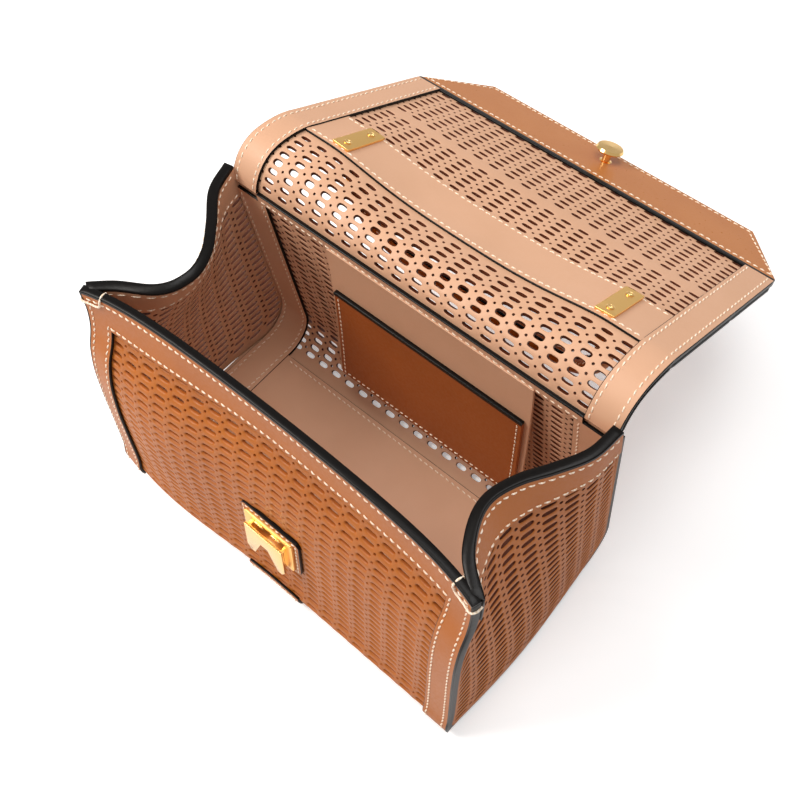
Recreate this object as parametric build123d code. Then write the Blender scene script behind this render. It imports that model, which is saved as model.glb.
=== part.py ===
"""Structured flap bag in thick two-tone leather, standing with its flap thrown open.

Units are millimetres. X runs along the bag's width, +Y goes from the front to the
back and +Z is up. The origin is the centre of the flat base that the bag rests on.
"""
from build123d import *
import math
import os

os.makedirs("parts", exist_ok=True)

# Driving dimensions of the body
BAG_WIDTH = 270.0
BAG_HEIGHT = 162.0
BASE_DEPTH = 148.0
FRONT_TOP_Y = -46.0
FRONT_TOP_BOW = 10.5
BACK_TOP_Y = 66.0
LEFT_BOW = 39.0
RIGHT_BOW = 27.0
BACK_CORNER_RADIUS = 25.0

# Leather
SHEET = 2.2
BAND = 1.8
TAB_WIDTH = 40.0
THREAD_RADIUS = 0.7
TAB_TOP = 13.0
BORDER_TOP = 22.0
BORDER_SIDE = 17.0
SIDE_BAND = 18.4
BINDING = 24.0
STRIP_DROP = 15.0

# Flap, measured along its inner face from the seam to the free edge
FLAP_WIDTH = 264.6
FLAP_SLOPE = 28.0
END_SLOPE = 26.7
STRIP_START = (107.4, BAG_HEIGHT + 4.4)
STRIP_WIDTH = 35.4
FOLD_AFTER_STRIP = 37.0
FIELD_LENGTH = 94.5
END_LENGTH = 40.5
END_EDGE_WIDTH = 199.0
PIPING_WIDTH = 3.0
BEND_GAP = 0.6
SEAM_Z = BAG_HEIGHT - 1.0

# Hardware
PLATE_X = 90.0
PLATE_SIZE = (11.0, 33.0, 1.6)
SCREW_SPACING = 22.0
STUD_RADIUS = 9.0
LOCK_HEIGHT = 46.0
LOCK_BACKING = (42.0, 38.0)
LOCK_BASE = (35.0, 31.0)
LOCK_FRONT = (28.0, 28.0)
LOCK_STAND_OFF = 9.5
NOTCH_WIDTH = 18.0
NOTCH_DEPTH = 18.0

# Pocket
POCKET_CENTRE_X = 10.0
POCKET_WIDTH = 136.0
POCKET_TOP_Z = BAG_HEIGHT - 50.0
POCKET_HEIGHT = 76.0
POCKET_LEAN = 9.0
POCKET_GAP = 7.0

# Handle
HANDLE_DROP = 62.0
HANDLE_RADIUS = 5.5

HALF_WIDTH = BAG_WIDTH / 2
BASE_FRONT_Y = -BASE_DEPTH / 2
BASE_BACK_Y = BASE_DEPTH / 2
NODES = {}


def offset_points(points, distance):
    """Move an open line of (u, v) points sideways, to the left of its direction."""
    moved = []
    last = len(points) - 1
    for index, (u, v) in enumerate(points):
        before = points[max(index - 1, 0)]
        after = points[min(index + 1, last)]
        run = math.hypot(after[0] - before[0], after[1] - before[1])
        along = ((after[0] - before[0]) / run, (after[1] - before[1]) / run)
        moved.append((u - along[1] * distance, v + along[0] * distance))
    return moved


def eased(points):
    """Add a point on the curve between each pair, so that a polyline bends gently."""
    line = [points[0]]
    padded = [points[0], *points, points[-1]]
    for before, start, end, after in zip(padded, padded[1:], padded[2:], padded[3:]):
        half = [9 * (a + b) / 16 - (c + d) / 16 for a, b, c, d in zip(start, end, before, after)]
        line += [tuple(half), end]
    return line


def sheet_face(plane, outer, inner):
    """Face between two open polylines, closed by straight ends."""
    return plane * make_face(Polyline(*outer, *reversed(inner), close=True))


def sheet_profile(outer, start, thickness):
    """Closed YZ face of a bent sheet: from start to start + thickness left of a line."""
    line = eased(outer)
    near = offset_points(line, start)
    far = offset_points(line, start + thickness)
    return sheet_face(Plane.YZ, near, far)


def along_x(face, x_low, x_high):
    """Extrude a YZ face between two stations across the width."""
    return extrude(Pos(x_low, 0, 0) * face, x_high - x_low, dir=(1, 0, 0))


def block(x_range, y_range, z_range):
    """Box between limits on each axis."""
    size = [high - low for low, high in (x_range, y_range, z_range)]
    middle = [(high + low) / 2 for low, high in (x_range, y_range, z_range)]
    return Pos(*middle) * Box(*size)


# Front panel: upright at its stiff top border, then leaning out to the base
FRONT_STATIONS = (-HALF_WIDTH, -118.0, -95.0, -62.0, -25.0, 20.0, 70.0, 110.0, HALF_WIDTH)
FRONT_LEVELS = (1.0, 0.91, 0.82, 0.74, 0.65, 0.5, 0.3, 0.13)
LEAN = (0.0, 0.04, 0.17, 0.38, 0.53, 0.67, 0.80, 0.92)
LEFT_BELLY = 8.0
FOOT_RADIUS = 8.0


def front_top(x):
    """Y of the front panel's top edge: bowed back in the middle, flared at the tips."""
    u = x / HALF_WIDTH
    return FRONT_TOP_Y + FRONT_TOP_BOW * (1 - 0.45 * u**2 - 0.55 * u**6)


def front_line(x):
    """Front panel's outer line at one station, from its top edge to the turned foot."""
    top_y = front_top(x)
    foot_y = BASE_FRONT_Y + 1.0
    share = max(0.0, -x / HALF_WIDTH)
    belly = LEFT_BELLY * math.sin(math.pi * share**1.5)
    points = []
    for level, lean in zip(FRONT_LEVELS, LEAN):
        swell = belly * math.sin(0.85 * math.pi * (1 - level) ** 0.8)
        points.append((top_y + (foot_y - top_y) * lean - swell, BAG_HEIGHT * level))
    points.append((foot_y, FOOT_RADIUS + 1.0))
    points.append((foot_y + 0.3 * FOOT_RADIUS, 0.3 * FOOT_RADIUS))
    points.append((foot_y + FOOT_RADIUS + 1.0, 0.0))
    return points


def front_loft(setback, thickness, reach=()):
    """Bent leather sheet that follows the front, lofted through its stations."""
    sections = []
    for x in sorted(FRONT_STATIONS + reach):
        line = eased(front_line(x))
        outer = offset_points(line, setback)
        inner = offset_points(line, setback + thickness)
        sections.append(sheet_face(Plane.YZ.offset(x), outer, inner))
    return loft(sections, ruled=True)


def make_front():
    """Perforated front panel and the plain border stitched round its edge."""
    NODES["front_panel"] = front_loft(0.0, SHEET)
    cover = front_loft(-BAND, BAND)
    window = block(
        (-HALF_WIDTH + BORDER_SIDE, HALF_WIDTH - BORDER_SIDE),
        (BASE_FRONT_Y - 40, FRONT_TOP_Y + 40),
        (-5, BAG_HEIGHT - BORDER_TOP),
    )
    below = block((-HALF_WIDTH, HALF_WIDTH), (BASE_FRONT_Y - 40, 0), (-5, TAB_TOP))
    NODES["front_border"] = cover - window - below
    tab = block((-TAB_WIDTH / 2, TAB_WIDTH / 2), (BASE_FRONT_Y - 40, 0), (0, TAB_TOP))
    NODES["front_tab"] = cover & tab


def make_corner_threads():
    """Thick thread whipped over the front's top edge at each corner."""
    for name, side in (("left", -1), ("right", 1)):
        x = side * (HALF_WIDTH - 15.0)
        y_middle = front_top(x) + (SHEET - BAND) / 2
        reach = (SHEET + BAND) / 2 + THREAD_RADIUS + 0.95
        leg = Pos(x, y_middle - reach, BAG_HEIGHT - 0.8) * Cylinder(THREAD_RADIUS, 3.6)
        far_leg = Pos(0, 2 * reach, 0) * leg
        top = Pos(x, y_middle, BAG_HEIGHT + THREAD_RADIUS + 0.6)
        bridge = top * Rot(90, 0, 0) * Cylinder(THREAD_RADIUS, 2 * reach + THREAD_RADIUS)
        NODES["corner_thread_" + name] = leg + far_leg + bridge


def body_profile(inset):
    """Outline of the body's side, set in by a distance, from front bottom to back top."""
    radius = BACK_CORNER_RADIUS - inset
    back_foot = (BASE_BACK_Y - inset, BACK_CORNER_RADIUS)
    base_end = (BASE_BACK_Y - BACK_CORNER_RADIUS, inset)
    turn = Pos(BASE_BACK_Y - BACK_CORNER_RADIUS, BACK_CORNER_RADIUS)
    arc = turn * CenterArc((0, 0), radius, 270, 90)
    return base_end, back_foot, arc


def lined_body(inset, thickness, y_front, z_top):
    """YZ face of a sheet that lines the base and back between two depths."""
    near_base, near_back, near_arc = body_profile(inset)
    far_base, far_back, far_arc = body_profile(inset + thickness)
    lean = (BASE_BACK_Y - BACK_TOP_Y) / (BAG_HEIGHT - BACK_CORNER_RADIUS)
    rise = z_top - BACK_CORNER_RADIUS
    near_top = (near_back[0] - lean * rise, z_top)
    far_top = (far_back[0] - lean * rise, z_top)
    rim = [
        Line((y_front, inset), near_base),
        near_arc,
        Line(near_back, near_top),
        Line(near_top, far_top),
        Line(far_top, far_back),
        far_arc,
        Line(far_base, (y_front, inset + thickness)),
        Line((y_front, inset + thickness), (y_front, inset)),
    ]
    return Plane.YZ * make_face(rim)


def back_inner_y(z):
    """Y of the back panel's inner face at a height above the rounded corner."""
    lean = (BASE_BACK_Y - BACK_TOP_Y) / (BAG_HEIGHT - BACK_CORNER_RADIUS)
    return BASE_BACK_Y - SHEET - lean * (z - BACK_CORNER_RADIUS)


GUSSET_STATIONS = (0.0, 0.1, 0.2, 0.36, 0.52, 0.66, 0.82, 1.0)
LEFT_SHAPE = (0.0, 0.32, 0.76, 0.99, 0.88, 0.58, 0.18, 0.0)
RIGHT_SHAPE = (0.0, 0.52, 0.80, 1.0, 0.82, 0.48, 0.15, 0.06)
GUSSET_LEVELS = (-4.0, 50.0, 95.0, 120.0, BAG_HEIGHT - BORDER_TOP, BAG_HEIGHT)
BASE_SWELL = 3.5


def gusset_line(side, bow, z, inset):
    """Plan of a gusset at one height, from front to back, set in from its outer face."""
    share = max(0.0, z / BAG_HEIGHT) ** 2.2
    front_y = front_inner_y(z)
    back_y = back_inner_y(max(z, BACK_CORNER_RADIUS))
    points = []
    shapes = LEFT_SHAPE if side < 0 else RIGHT_SHAPE
    for station, shape in zip(GUSSET_STATIONS, shapes):
        swell = BASE_SWELL * math.sin(math.pi * station) * (1 - share)
        x = HALF_WIDTH - bow * share * shape + swell - inset
        points.append((side * x, front_y + (back_y - front_y) * station))
    return points


def front_inner_y(z):
    """Y of the front panel's inner face at its side edge, a little below the real one."""
    line = offset_points(front_line(HALF_WIDTH), SHEET)
    for (y_high, z_high), (y_low, z_low) in zip(line, line[1:]):
        if z >= z_low:
            return y_low + (y_high - y_low) * (z - z_low) / (z_high - z_low) - 2.0
    return line[-1][0] - 2.0


def gusset_loft(side, bow, near, far):
    """Bent sheet that follows a gusset between two distances in from its outer face."""
    sections = []
    for z in GUSSET_LEVELS:
        outer = eased(gusset_line(side, bow, z, near))
        inner = eased(gusset_line(side, bow, z, far))
        sections.append(sheet_face(Plane.XY.offset(z), outer, inner))
    return loft(sections, ruled=True)


def make_gussets():
    """Perforated end panels, bowed in at the top, with their plain top bands."""
    near_base, near_back, near_arc = body_profile(SHEET)
    top = (back_inner_y(BAG_HEIGHT + 20), BAG_HEIGHT + 20)
    rim = [
        Line((BASE_FRONT_Y - 20, SHEET), near_base),
        near_arc,
        Line(near_back, top),
        Line(top, (BASE_FRONT_Y - 20, BAG_HEIGHT + 20)),
        Line((BASE_FRONT_Y - 20, BAG_HEIGHT + 20), (BASE_FRONT_Y - 20, SHEET)),
    ]
    inside = along_x(Plane.YZ * make_face(rim), -HALF_WIDTH - 20, HALF_WIDTH + 20)
    beyond = (-HALF_WIDTH - 4.0, HALF_WIDTH + 4.0)
    front_slab = front_loft(-4.0, 4.0 + SHEET, beyond)
    top_zone = block(
        (-HALF_WIDTH - 20, HALF_WIDTH + 20),
        (BASE_FRONT_Y, BASE_BACK_Y),
        (BAG_HEIGHT - BORDER_TOP, BAG_HEIGHT),
    )
    for name, side, bow in (("left", -1, LEFT_BOW), ("right", 1, RIGHT_BOW)):
        panel = (gusset_loft(side, bow, 0.0, SHEET) & inside) - front_slab
        NODES["gusset_" + name] = panel
        band = (gusset_loft(side, bow, -BAND, 0.0) & inside & top_zone) - front_slab
        NODES["gusset_band_" + name] = band - panel


def make_back():
    """Back and base in one sheet, with the plain pieces that line it."""
    front_end = BASE_FRONT_Y + FOOT_RADIUS + 3.5
    NODES["back_panel"] = along_x(
        lined_body(0.0, SHEET, front_end, SEAM_Z), -HALF_WIDTH, HALF_WIDTH
    )
    inner_edge = HALF_WIDTH - SHEET - BINDING
    binding = lined_body(SHEET, BAND, front_end + 2, BAG_HEIGHT - STRIP_DROP - 1)
    for name, side in (("left", -1), ("right", 1)):
        low = min(side * inner_edge, side * (inner_edge + BINDING - 1.0))
        NODES["gusset_binding_" + name] = along_x(binding, low, low + BINDING - 1.0)
    NODES["base_insert"] = block(
        (-inner_edge, inner_edge),
        (front_end + 2, BASE_BACK_Y - BACK_CORNER_RADIUS - 2),
        (SHEET, SHEET + BAND),
    )
    strip_low = BAG_HEIGHT - STRIP_DROP
    strip = lined_body(SHEET, BAND, front_end, BAG_HEIGHT - 7.5)
    keep = block((-inner_edge, inner_edge), (30, 100), (strip_low, BAG_HEIGHT))
    NODES["hinge_strip"] = along_x(strip, -inner_edge, inner_edge) & keep


def make_pocket():
    """Open pocket that hangs from the hinge strip: plain back sheet and brown front."""
    top_z = BAG_HEIGHT - STRIP_DROP
    top_y = back_inner_y(top_z) - BAND
    low_z = POCKET_TOP_Z - POCKET_HEIGHT
    turn = math.degrees(math.atan2(POCKET_LEAN, top_z - low_z))
    frame = Pos(POCKET_CENTRE_X, top_y - 1.0, top_z) * Rot(-turn, 0, 0)
    drop = (top_z - low_z) / math.cos(math.radians(turn))
    hang = (Align.CENTER, Align.MAX, Align.MAX)
    stand = (Align.CENTER, Align.MAX, Align.MIN)
    NODES["pocket_back"] = frame * Box(POCKET_WIDTH + 6.0, 1.6, drop, align=hang)
    pouch = Box(POCKET_WIDTH, POCKET_GAP + 2.0, POCKET_HEIGHT, align=stand)
    pouch -= Pos(0, 0, 2.0) * Box(POCKET_WIDTH - 4.0, POCKET_GAP, POCKET_HEIGHT, align=stand)
    NODES["pocket_front"] = frame * Pos(0, -1.6, -drop) * pouch


def flap_point(distance, height):
    """YZ point on the flap at a distance past the strip's start and a height over it."""
    slope = math.radians(FLAP_SLOPE)
    y = STRIP_START[0] + distance * math.cos(slope) + height * math.sin(slope)
    z = STRIP_START[1] - distance * math.sin(slope) + height * math.cos(slope)
    return (y, z)


def flap_slab(start, end, low, high):
    """YZ face of a flat layer of the flap."""
    corners = [
        flap_point(start, low),
        flap_point(end, low),
        flap_point(end, high),
        flap_point(start, high),
    ]
    return Plane.YZ * make_face(Polyline(*corners, close=True))


BEND_LINE = [
    (BACK_TOP_Y - 1.2, BAG_HEIGHT + 1.0),
    (BACK_TOP_Y + 6.0, BAG_HEIGHT + 4.6),
    (BACK_TOP_Y + 19.0, BAG_HEIGHT + 7.6),
    (BACK_TOP_Y + 27.0, BAG_HEIGHT + 8.4),
    (STRIP_START[0] - BEND_GAP, STRIP_START[1] + 0.3),
]


def make_flap_bend():
    """Stretch of the flap that turns over the seam, with its edge bands."""
    half = FLAP_WIDTH / 2
    NODES["flap_bend"] = along_x(sheet_profile(BEND_LINE, -SHEET, SHEET), -half, half)
    band = sheet_profile(BEND_LINE, 0.0, BAND)
    for name, low in (("left", -half), ("right", half - SIDE_BAND)):
        NODES["bend_band_" + name] = along_x(band, low, low + SIDE_BAND)


def make_flap():
    """Flat stretch of the flap up to its front fold."""
    half = FLAP_WIDTH / 2
    length = STRIP_WIDTH + FOLD_AFTER_STRIP
    NODES["flap_panel"] = along_x(flap_slab(0, length, -SHEET, 0), -half, half)
    band = flap_slab(0, length, 0, BAND)
    for name, low in (("left", -half), ("right", half - SIDE_BAND)):
        NODES["flap_band_" + name] = along_x(band, low, low + SIDE_BAND)
    strip_half = half - SIDE_BAND
    NODES["handle_strip"] = along_x(flap_slab(0, STRIP_WIDTH, 0, BAND), -strip_half, strip_half)


def make_flap_front():
    """Stretch of the flap past its fold: field, edge bands, piping and end piece."""
    half = FLAP_WIDTH / 2
    start = STRIP_WIDTH + FOLD_AFTER_STRIP + BEND_GAP
    end = STRIP_WIDTH + FIELD_LENGTH
    NODES["flap_front_panel"] = along_x(flap_slab(start, end, -SHEET, 0), -half, half)
    band = flap_slab(start, end - PIPING_WIDTH, 0, BAND)
    for name, low in (("left", -half), ("right", half - SIDE_BAND)):
        NODES["flap_front_band_" + name] = along_x(band, low, low + SIDE_BAND)
    NODES["flap_piping"] = along_x(flap_slab(end - PIPING_WIDTH, end, 0, BAND), -half, half)
    outline = Polyline(
        (-half, 0),
        (half, 0),
        (END_EDGE_WIDTH / 2, END_LENGTH),
        (-END_EDGE_WIDTH / 2, END_LENGTH),
        close=True,
    )
    plate = extrude(make_face(outline), SHEET)
    seat = end_frame()
    NODES["flap_end_piece"] = seat * Pos(0, 0, -SHEET) * plate


def end_frame():
    """Location of the end piece: X across, Y to the free edge, Z off its inner face."""
    y, z = flap_point(STRIP_WIDTH + FIELD_LENGTH, 0)
    return Pos(0, y, z) * Rot(-END_SLOPE, 0, 0)


def strip_frame(x, distance):
    """Location on the flap's inner face: X across, Y to the free edge, Z off the face."""
    y, z = flap_point(distance, 0)
    return Pos(x, y, z) * Rot(-FLAP_SLOPE, 0, 0)


def make_handle_plates():
    """Counter-plates inside the flap, their screws and the brackets outside it."""
    width, length, thickness = PLATE_SIZE
    screws = []
    for name, x in (("left", -PLATE_X), ("right", PLATE_X)):
        seat = strip_frame(x, STRIP_WIDTH / 2)
        plate = Box(width, length, thickness, align=(Align.CENTER, Align.CENTER, Align.MIN))
        plate = fillet(plate.edges().filter_by(Axis.Z), 1.0)
        NODES["counter_plate_" + name] = seat * Pos(0, 0, BAND) * plate
        for offset in (-SCREW_SPACING / 2, SCREW_SPACING / 2):
            head = Cylinder(2.2, 0.5, align=(Align.CENTER, Align.CENTER, Align.MIN))
            screws.append(seat * Pos(0, offset, BAND + thickness) * head)
        NODES["handle_bracket_" + name] = seat * make_bracket()
    NODES["plate_screws"] = Compound(children=screws)


BRACKET_WIDTH = 11.0
EYE_RADIUS = 5.0
PIN_RADIUS = 2.0
PIN_CLEARANCE = 0.05
EYE_DROP = 8.0
EAR = 3.0


def make_bracket():
    """Outside bracket: a plate with two ears that hold the handle's pin."""
    width, length, thickness = PLATE_SIZE
    under = -SHEET - thickness
    foot = Box(width + 9.0, length, thickness, align=(Align.CENTER, Align.CENTER, Align.MIN))
    bracket = Pos(0, 0, under) * foot
    for side in (-1, 1):
        x = side * (BRACKET_WIDTH / 2 + EAR / 2)
        eye = Pos(x, 0, under - EYE_DROP) * Rot(0, 90, 0) * Cylinder(EYE_RADIUS, EAR)
        neck = Pos(x, 0, under - EYE_DROP / 2) * Box(EAR, 2 * EYE_RADIUS, EYE_DROP)
        bracket += eye + neck
    pin = Rot(0, 90, 0) * Cylinder(PIN_RADIUS, BRACKET_WIDTH + 2 * EAR)
    return bracket + Pos(0, 0, under - EYE_DROP) * pin


def pivot_point():
    """YZ point of the handle's pins."""
    under = -SHEET - PLATE_SIZE[2] - EYE_DROP
    return flap_point(STRIP_WIDTH / 2, under)


def make_handle():
    """Rolled leather handle with a metal ring end at each side, hanging straight down."""
    y, z = pivot_point()
    rest = Pos(0, y, z)
    for name, x in (("left", -PLATE_X), ("right", PLATE_X)):
        knuckle = Rot(0, 90, 0) * Cylinder(EYE_RADIUS, BRACKET_WIDTH - 1.0)
        tail = Pos(0, 0, -8) * Cylinder(4.0, 10.0)
        cup = Pos(0, 0, -15) * Cylinder(HANDLE_RADIUS + 1.0, 6.0)
        bore = Rot(0, 90, 0) * Cylinder(PIN_RADIUS + PIN_CLEARANCE, BRACKET_WIDTH + 4)
        socket = Pos(0, 0, -16) * Cylinder(HANDLE_RADIUS, 6.0)
        end = knuckle + tail + cup - bore - socket
        NODES["handle_end_" + name] = rest * Pos(x, 0, 0) * end
    low = -HANDLE_DROP
    corner = 34.0
    path = FilletPolyline(
        (-PLATE_X, 0, -13.0),
        (-PLATE_X, 0, low),
        (PLATE_X, 0, low),
        (PLATE_X, 0, -13.0),
        radius=corner,
    )
    section = Plane(origin=(-PLATE_X, 0, -13.0), z_dir=(0, 0, -1)) * Circle(HANDLE_RADIUS - 0.02)
    NODES["handle_grip"] = rest * sweep(section, path=path)


def make_stud():
    """Turned stud on the end piece: flange, waisted stem and mushroom head."""
    half_section = Polyline(
        (0, 0),
        (5.5, 0),
        (5.5, 1.0),
        (2.6, 1.8),
        (2.4, 7.0),
        (STUD_RADIUS - 1.0, 8.2),
        (STUD_RADIUS, 9.4),
        (STUD_RADIUS - 0.8, 11.0),
        (0, 11.4),
        close=True,
    )
    turned = revolve(Plane.XZ * make_face(half_section), Axis.Z)
    NODES["stud"] = end_frame() * Pos(0, END_LENGTH * 0.64, 0) * turned


def lock_frame():
    """Location on the front panel: X across, Y up the panel, Z out of it."""
    line = front_line(0.0)
    for (y_high, z_high), (y_low, z_low) in zip(line, line[1:]):
        if z_high >= LOCK_HEIGHT >= z_low:
            tilt = math.degrees(math.atan2(y_high - y_low, z_high - z_low))
            share = (LOCK_HEIGHT - z_low) / (z_high - z_low)
            y = y_low + (y_high - y_low) * share
            return Pos(0, y, LOCK_HEIGHT) * Rot(90 - tilt, 0, 0)
    raise ValueError("lock height is off the front panel")


def make_lock():
    """Leather backing, base plate, notched front plate on side walls, and its rivets."""
    seat = lock_frame() * Pos(0, 0, 0.6)
    backing = extrude(make_face(chamfered(*LOCK_BACKING, 7.0)), BAND)
    NODES["lock_backing"] = seat * backing - NODES["front_panel"]
    base = extrude(make_face(chamfered(*LOCK_BASE, 2.0)), 1.8)
    NODES["lock_base_plate"] = seat * Pos(0, 0, BAND) * base
    width, height = LOCK_FRONT
    level = BAND + 1.8
    outline = Polyline(
        (-width / 2, height / 2),
        (width / 2, height / 2),
        (width / 2, -height / 2 + 1.0),
        (width / 2 - 2.0, -height / 2),
        (NOTCH_WIDTH / 2, -height / 2),
        (3.0, -height / 2 + NOTCH_DEPTH),
        (-3.0, -height / 2 + NOTCH_DEPTH),
        (-NOTCH_WIDTH / 2, -height / 2),
        (-width / 2 + 2.0, -height / 2),
        (-width / 2, -height / 2 + 1.0),
        close=True,
    )
    front = Pos(0, -1.5, level + LOCK_STAND_OFF - 2.0) * extrude(make_face(outline), 2.0)
    for side in (-1, 1):
        wall = block(
            sorted((side * width / 2, side * (width / 2 - 2.0))),
            (-height / 2 - 0.5, height / 2 - 1.5),
            (level, level + LOCK_STAND_OFF - 1.0),
        )
        front += wall
    NODES["lock_front_plate"] = seat * front
    rivets = []
    for x, y in ((-6.0, 10.5), (6.0, 10.5), (0.0, -9.0)):
        pill = extrude(Pos(x, y) * SlotOverall(7.0, 3.4), 1.2)
        rivets.append(seat * Pos(0, 0, level) * pill)
    NODES["lock_rivets"] = Compound(children=rivets)


def chamfered(width, height, cut):
    """Closed rectangle outline with its four corners cut off."""
    x, y = width / 2, height / 2
    return Polyline(
        (-x + cut, y),
        (x - cut, y),
        (x, y - cut),
        (x, -y + cut),
        (x - cut, -y),
        (-x + cut, -y),
        (-x, -y + cut),
        (-x, y - cut),
        close=True,
    )


def main():
    """Build every piece and write one file for each."""
    make_front()
    make_corner_threads()
    make_gussets()
    make_back()
    make_pocket()
    make_flap_bend()
    make_flap()
    make_flap_front()
    make_handle_plates()
    make_handle()
    make_stud()
    make_lock()
    for name, shape in NODES.items():
        export_step(shape, f"parts/{name}.step")
        print(name, len(shape.solids()), round(shape.volume, 1))


main()
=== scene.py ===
"""Structured flap bag in punched two-tone leather, with its flap thrown open.

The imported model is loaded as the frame. Each sub-assembly of the bag is a class that builds
its meshes in millimetres, in the frame's axes, and hands them over in metres: X along the
bag's width, +Y from its front to its back, +Z up, origin at the middle of its base.
"""

from __future__ import annotations

import logging
import math
from dataclasses import dataclass, field
from enum import Enum
from typing import Callable, Sequence

import bpy
import numpy as np
from mathutils import Matrix, Vector

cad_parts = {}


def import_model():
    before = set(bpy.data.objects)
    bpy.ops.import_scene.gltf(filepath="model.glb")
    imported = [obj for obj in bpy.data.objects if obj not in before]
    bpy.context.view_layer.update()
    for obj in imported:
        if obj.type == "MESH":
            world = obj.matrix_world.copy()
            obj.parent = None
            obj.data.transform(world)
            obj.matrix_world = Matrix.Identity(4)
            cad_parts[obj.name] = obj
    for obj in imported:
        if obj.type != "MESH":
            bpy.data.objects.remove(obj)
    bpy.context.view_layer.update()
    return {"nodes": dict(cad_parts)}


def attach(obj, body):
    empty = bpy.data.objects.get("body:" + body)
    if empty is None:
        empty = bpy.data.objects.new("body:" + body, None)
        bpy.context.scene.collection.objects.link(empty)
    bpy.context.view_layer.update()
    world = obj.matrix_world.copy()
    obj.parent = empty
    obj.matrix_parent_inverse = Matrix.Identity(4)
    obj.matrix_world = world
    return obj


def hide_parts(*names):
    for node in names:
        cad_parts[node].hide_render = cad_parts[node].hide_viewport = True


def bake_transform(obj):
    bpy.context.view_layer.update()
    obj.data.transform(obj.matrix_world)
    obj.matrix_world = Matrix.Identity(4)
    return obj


LOG = logging.getLogger("flap_bag")
MM = 0.001

Array = np.ndarray
Surface = Callable[[Array, Array], Array]


class Slot(str, Enum):
    """The record's material slots."""

    PERFORATED = "leather_perforated"
    BROWN = "leather_brown"
    BEIGE = "leather_beige"
    POCKET = "leather_pocket"
    END = "leather_end"
    EDGE = "edge_paint"
    THREAD = "thread_cream"
    SATIN = "brass_satin"
    POLISHED = "brass_polished"


# Colour and materials


def linear(hex_colour: str) -> tuple[float, float, float, float]:
    """Turn an sRGB hex colour into linear red, green, blue and alpha.

    Args:
        hex_colour: six hex digits after a hash.

    Returns:
        The colour as Blender's sockets take it.
    """
    parts = [int(hex_colour[i : i + 2], 16) / 255 for i in (1, 3, 5)]
    curved = [p / 12.92 if p <= 0.04045 else ((p + 0.055) / 1.055) ** 2.4 for p in parts]
    return (curved[0], curved[1], curved[2], 1.0)


def add_node(
    tree: bpy.types.NodeTree,
    kind: str,
    settings: dict | None = None,
    **inputs: object,
) -> bpy.types.Node:
    """Add a node with its settings, values and links.

    Args:
        tree: node tree that gets the node.
        kind: the node's type name.
        settings: attributes of the node itself.
        inputs: a value or an output socket for each input, named with _ for a space.

    Returns:
        The new node.
    """
    node = tree.nodes.new(kind)
    for name, value in (settings or {}).items():
        setattr(node, name, value)
    for name, value in inputs.items():
        key = int(name[1:]) if name[0] == "i" and name[1:].isdigit() else name.replace("_", " ")
        socket = node.inputs[key]
        if isinstance(value, bpy.types.NodeSocket):
            tree.links.new(value, socket)
        else:
            socket.default_value = value
    return node


def new_material(name: str) -> tuple[bpy.types.Material, bpy.types.NodeTree, bpy.types.Node]:
    """Start a material that has a Principled shader and nothing else.

    Args:
        name: the material's name.

    Returns:
        The material, its node tree and its shader node.
    """
    material = bpy.data.materials.new(name)
    material.use_nodes = True
    tree = material.node_tree
    tree.nodes.clear()
    output = tree.nodes.new("ShaderNodeOutputMaterial")
    shader = tree.nodes.new("ShaderNodeBsdfPrincipled")
    tree.links.new(shader.outputs["BSDF"], output.inputs["Surface"])
    return material, tree, shader


@dataclass(frozen=True)
class SmoothCalf:
    """Vegetable-tanned calf, rolled smooth and lightly waxed.

    The eye sees an even, warm colour with slow cloudy changes, a very fine pore grain
    and a broad soft sheen.
    """

    name: str
    colour: str
    deep: str
    roughness: float = 0.46
    pore_mm: float = 0.55
    pore_height_mm: float = 0.035
    cloud_mm: float = 38.0

    def make(self) -> bpy.types.Material:
        """Build the leather's material.

        Returns:
            The material.
        """
        material, tree, shader = new_material(self.name)
        place = add_node(tree, "ShaderNodeTexCoord").outputs["Object"]
        clouds = add_node(
            tree, "ShaderNodeTexNoise", Vector=place, Scale=1 / (self.cloud_mm * MM), Detail=3.0
        )
        pores = add_node(
            tree, "ShaderNodeTexVoronoi", Vector=place, Scale=1 / (self.pore_mm * MM)
        )
        grain = add_node(
            tree, "ShaderNodeTexNoise", Vector=place, Scale=1 / (1.9 * MM), Detail=4.0
        )
        share = add_node(
            tree, "ShaderNodeMapRange", Value=clouds.outputs["Fac"], From_Min=0.35, From_Max=0.7,
            To_Min=0.0, To_Max=0.55
        )
        tint = add_node(
            tree, "ShaderNodeMix", {"data_type": "RGBA"}, i0=share.outputs["Result"],
            i6=linear(self.colour), i7=linear(self.deep)
        )
        tree.links.new(tint.outputs[2], shader.inputs["Base Color"])
        rough = add_node(
            tree, "ShaderNodeMapRange", Value=grain.outputs["Fac"], From_Min=0.3, From_Max=0.7,
            To_Min=self.roughness - 0.05, To_Max=self.roughness + 0.07
        )
        tree.links.new(rough.outputs["Result"], shader.inputs["Roughness"])
        height = add_node(
            tree, "ShaderNodeMath", {"operation": "MULTIPLY_ADD"}, i0=grain.outputs["Fac"],
            i1=0.6, i2=pores.outputs["Distance"]
        )
        bump = add_node(
            tree, "ShaderNodeBump", Strength=0.35, Distance=self.pore_height_mm * MM,
            Height=height.outputs["Value"]
        )
        tree.links.new(bump.outputs["Normal"], shader.inputs["Normal"])
        shader.inputs["IOR"].default_value = 1.5
        shader.inputs["Specular IOR Level"].default_value = 0.38
        return material


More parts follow.
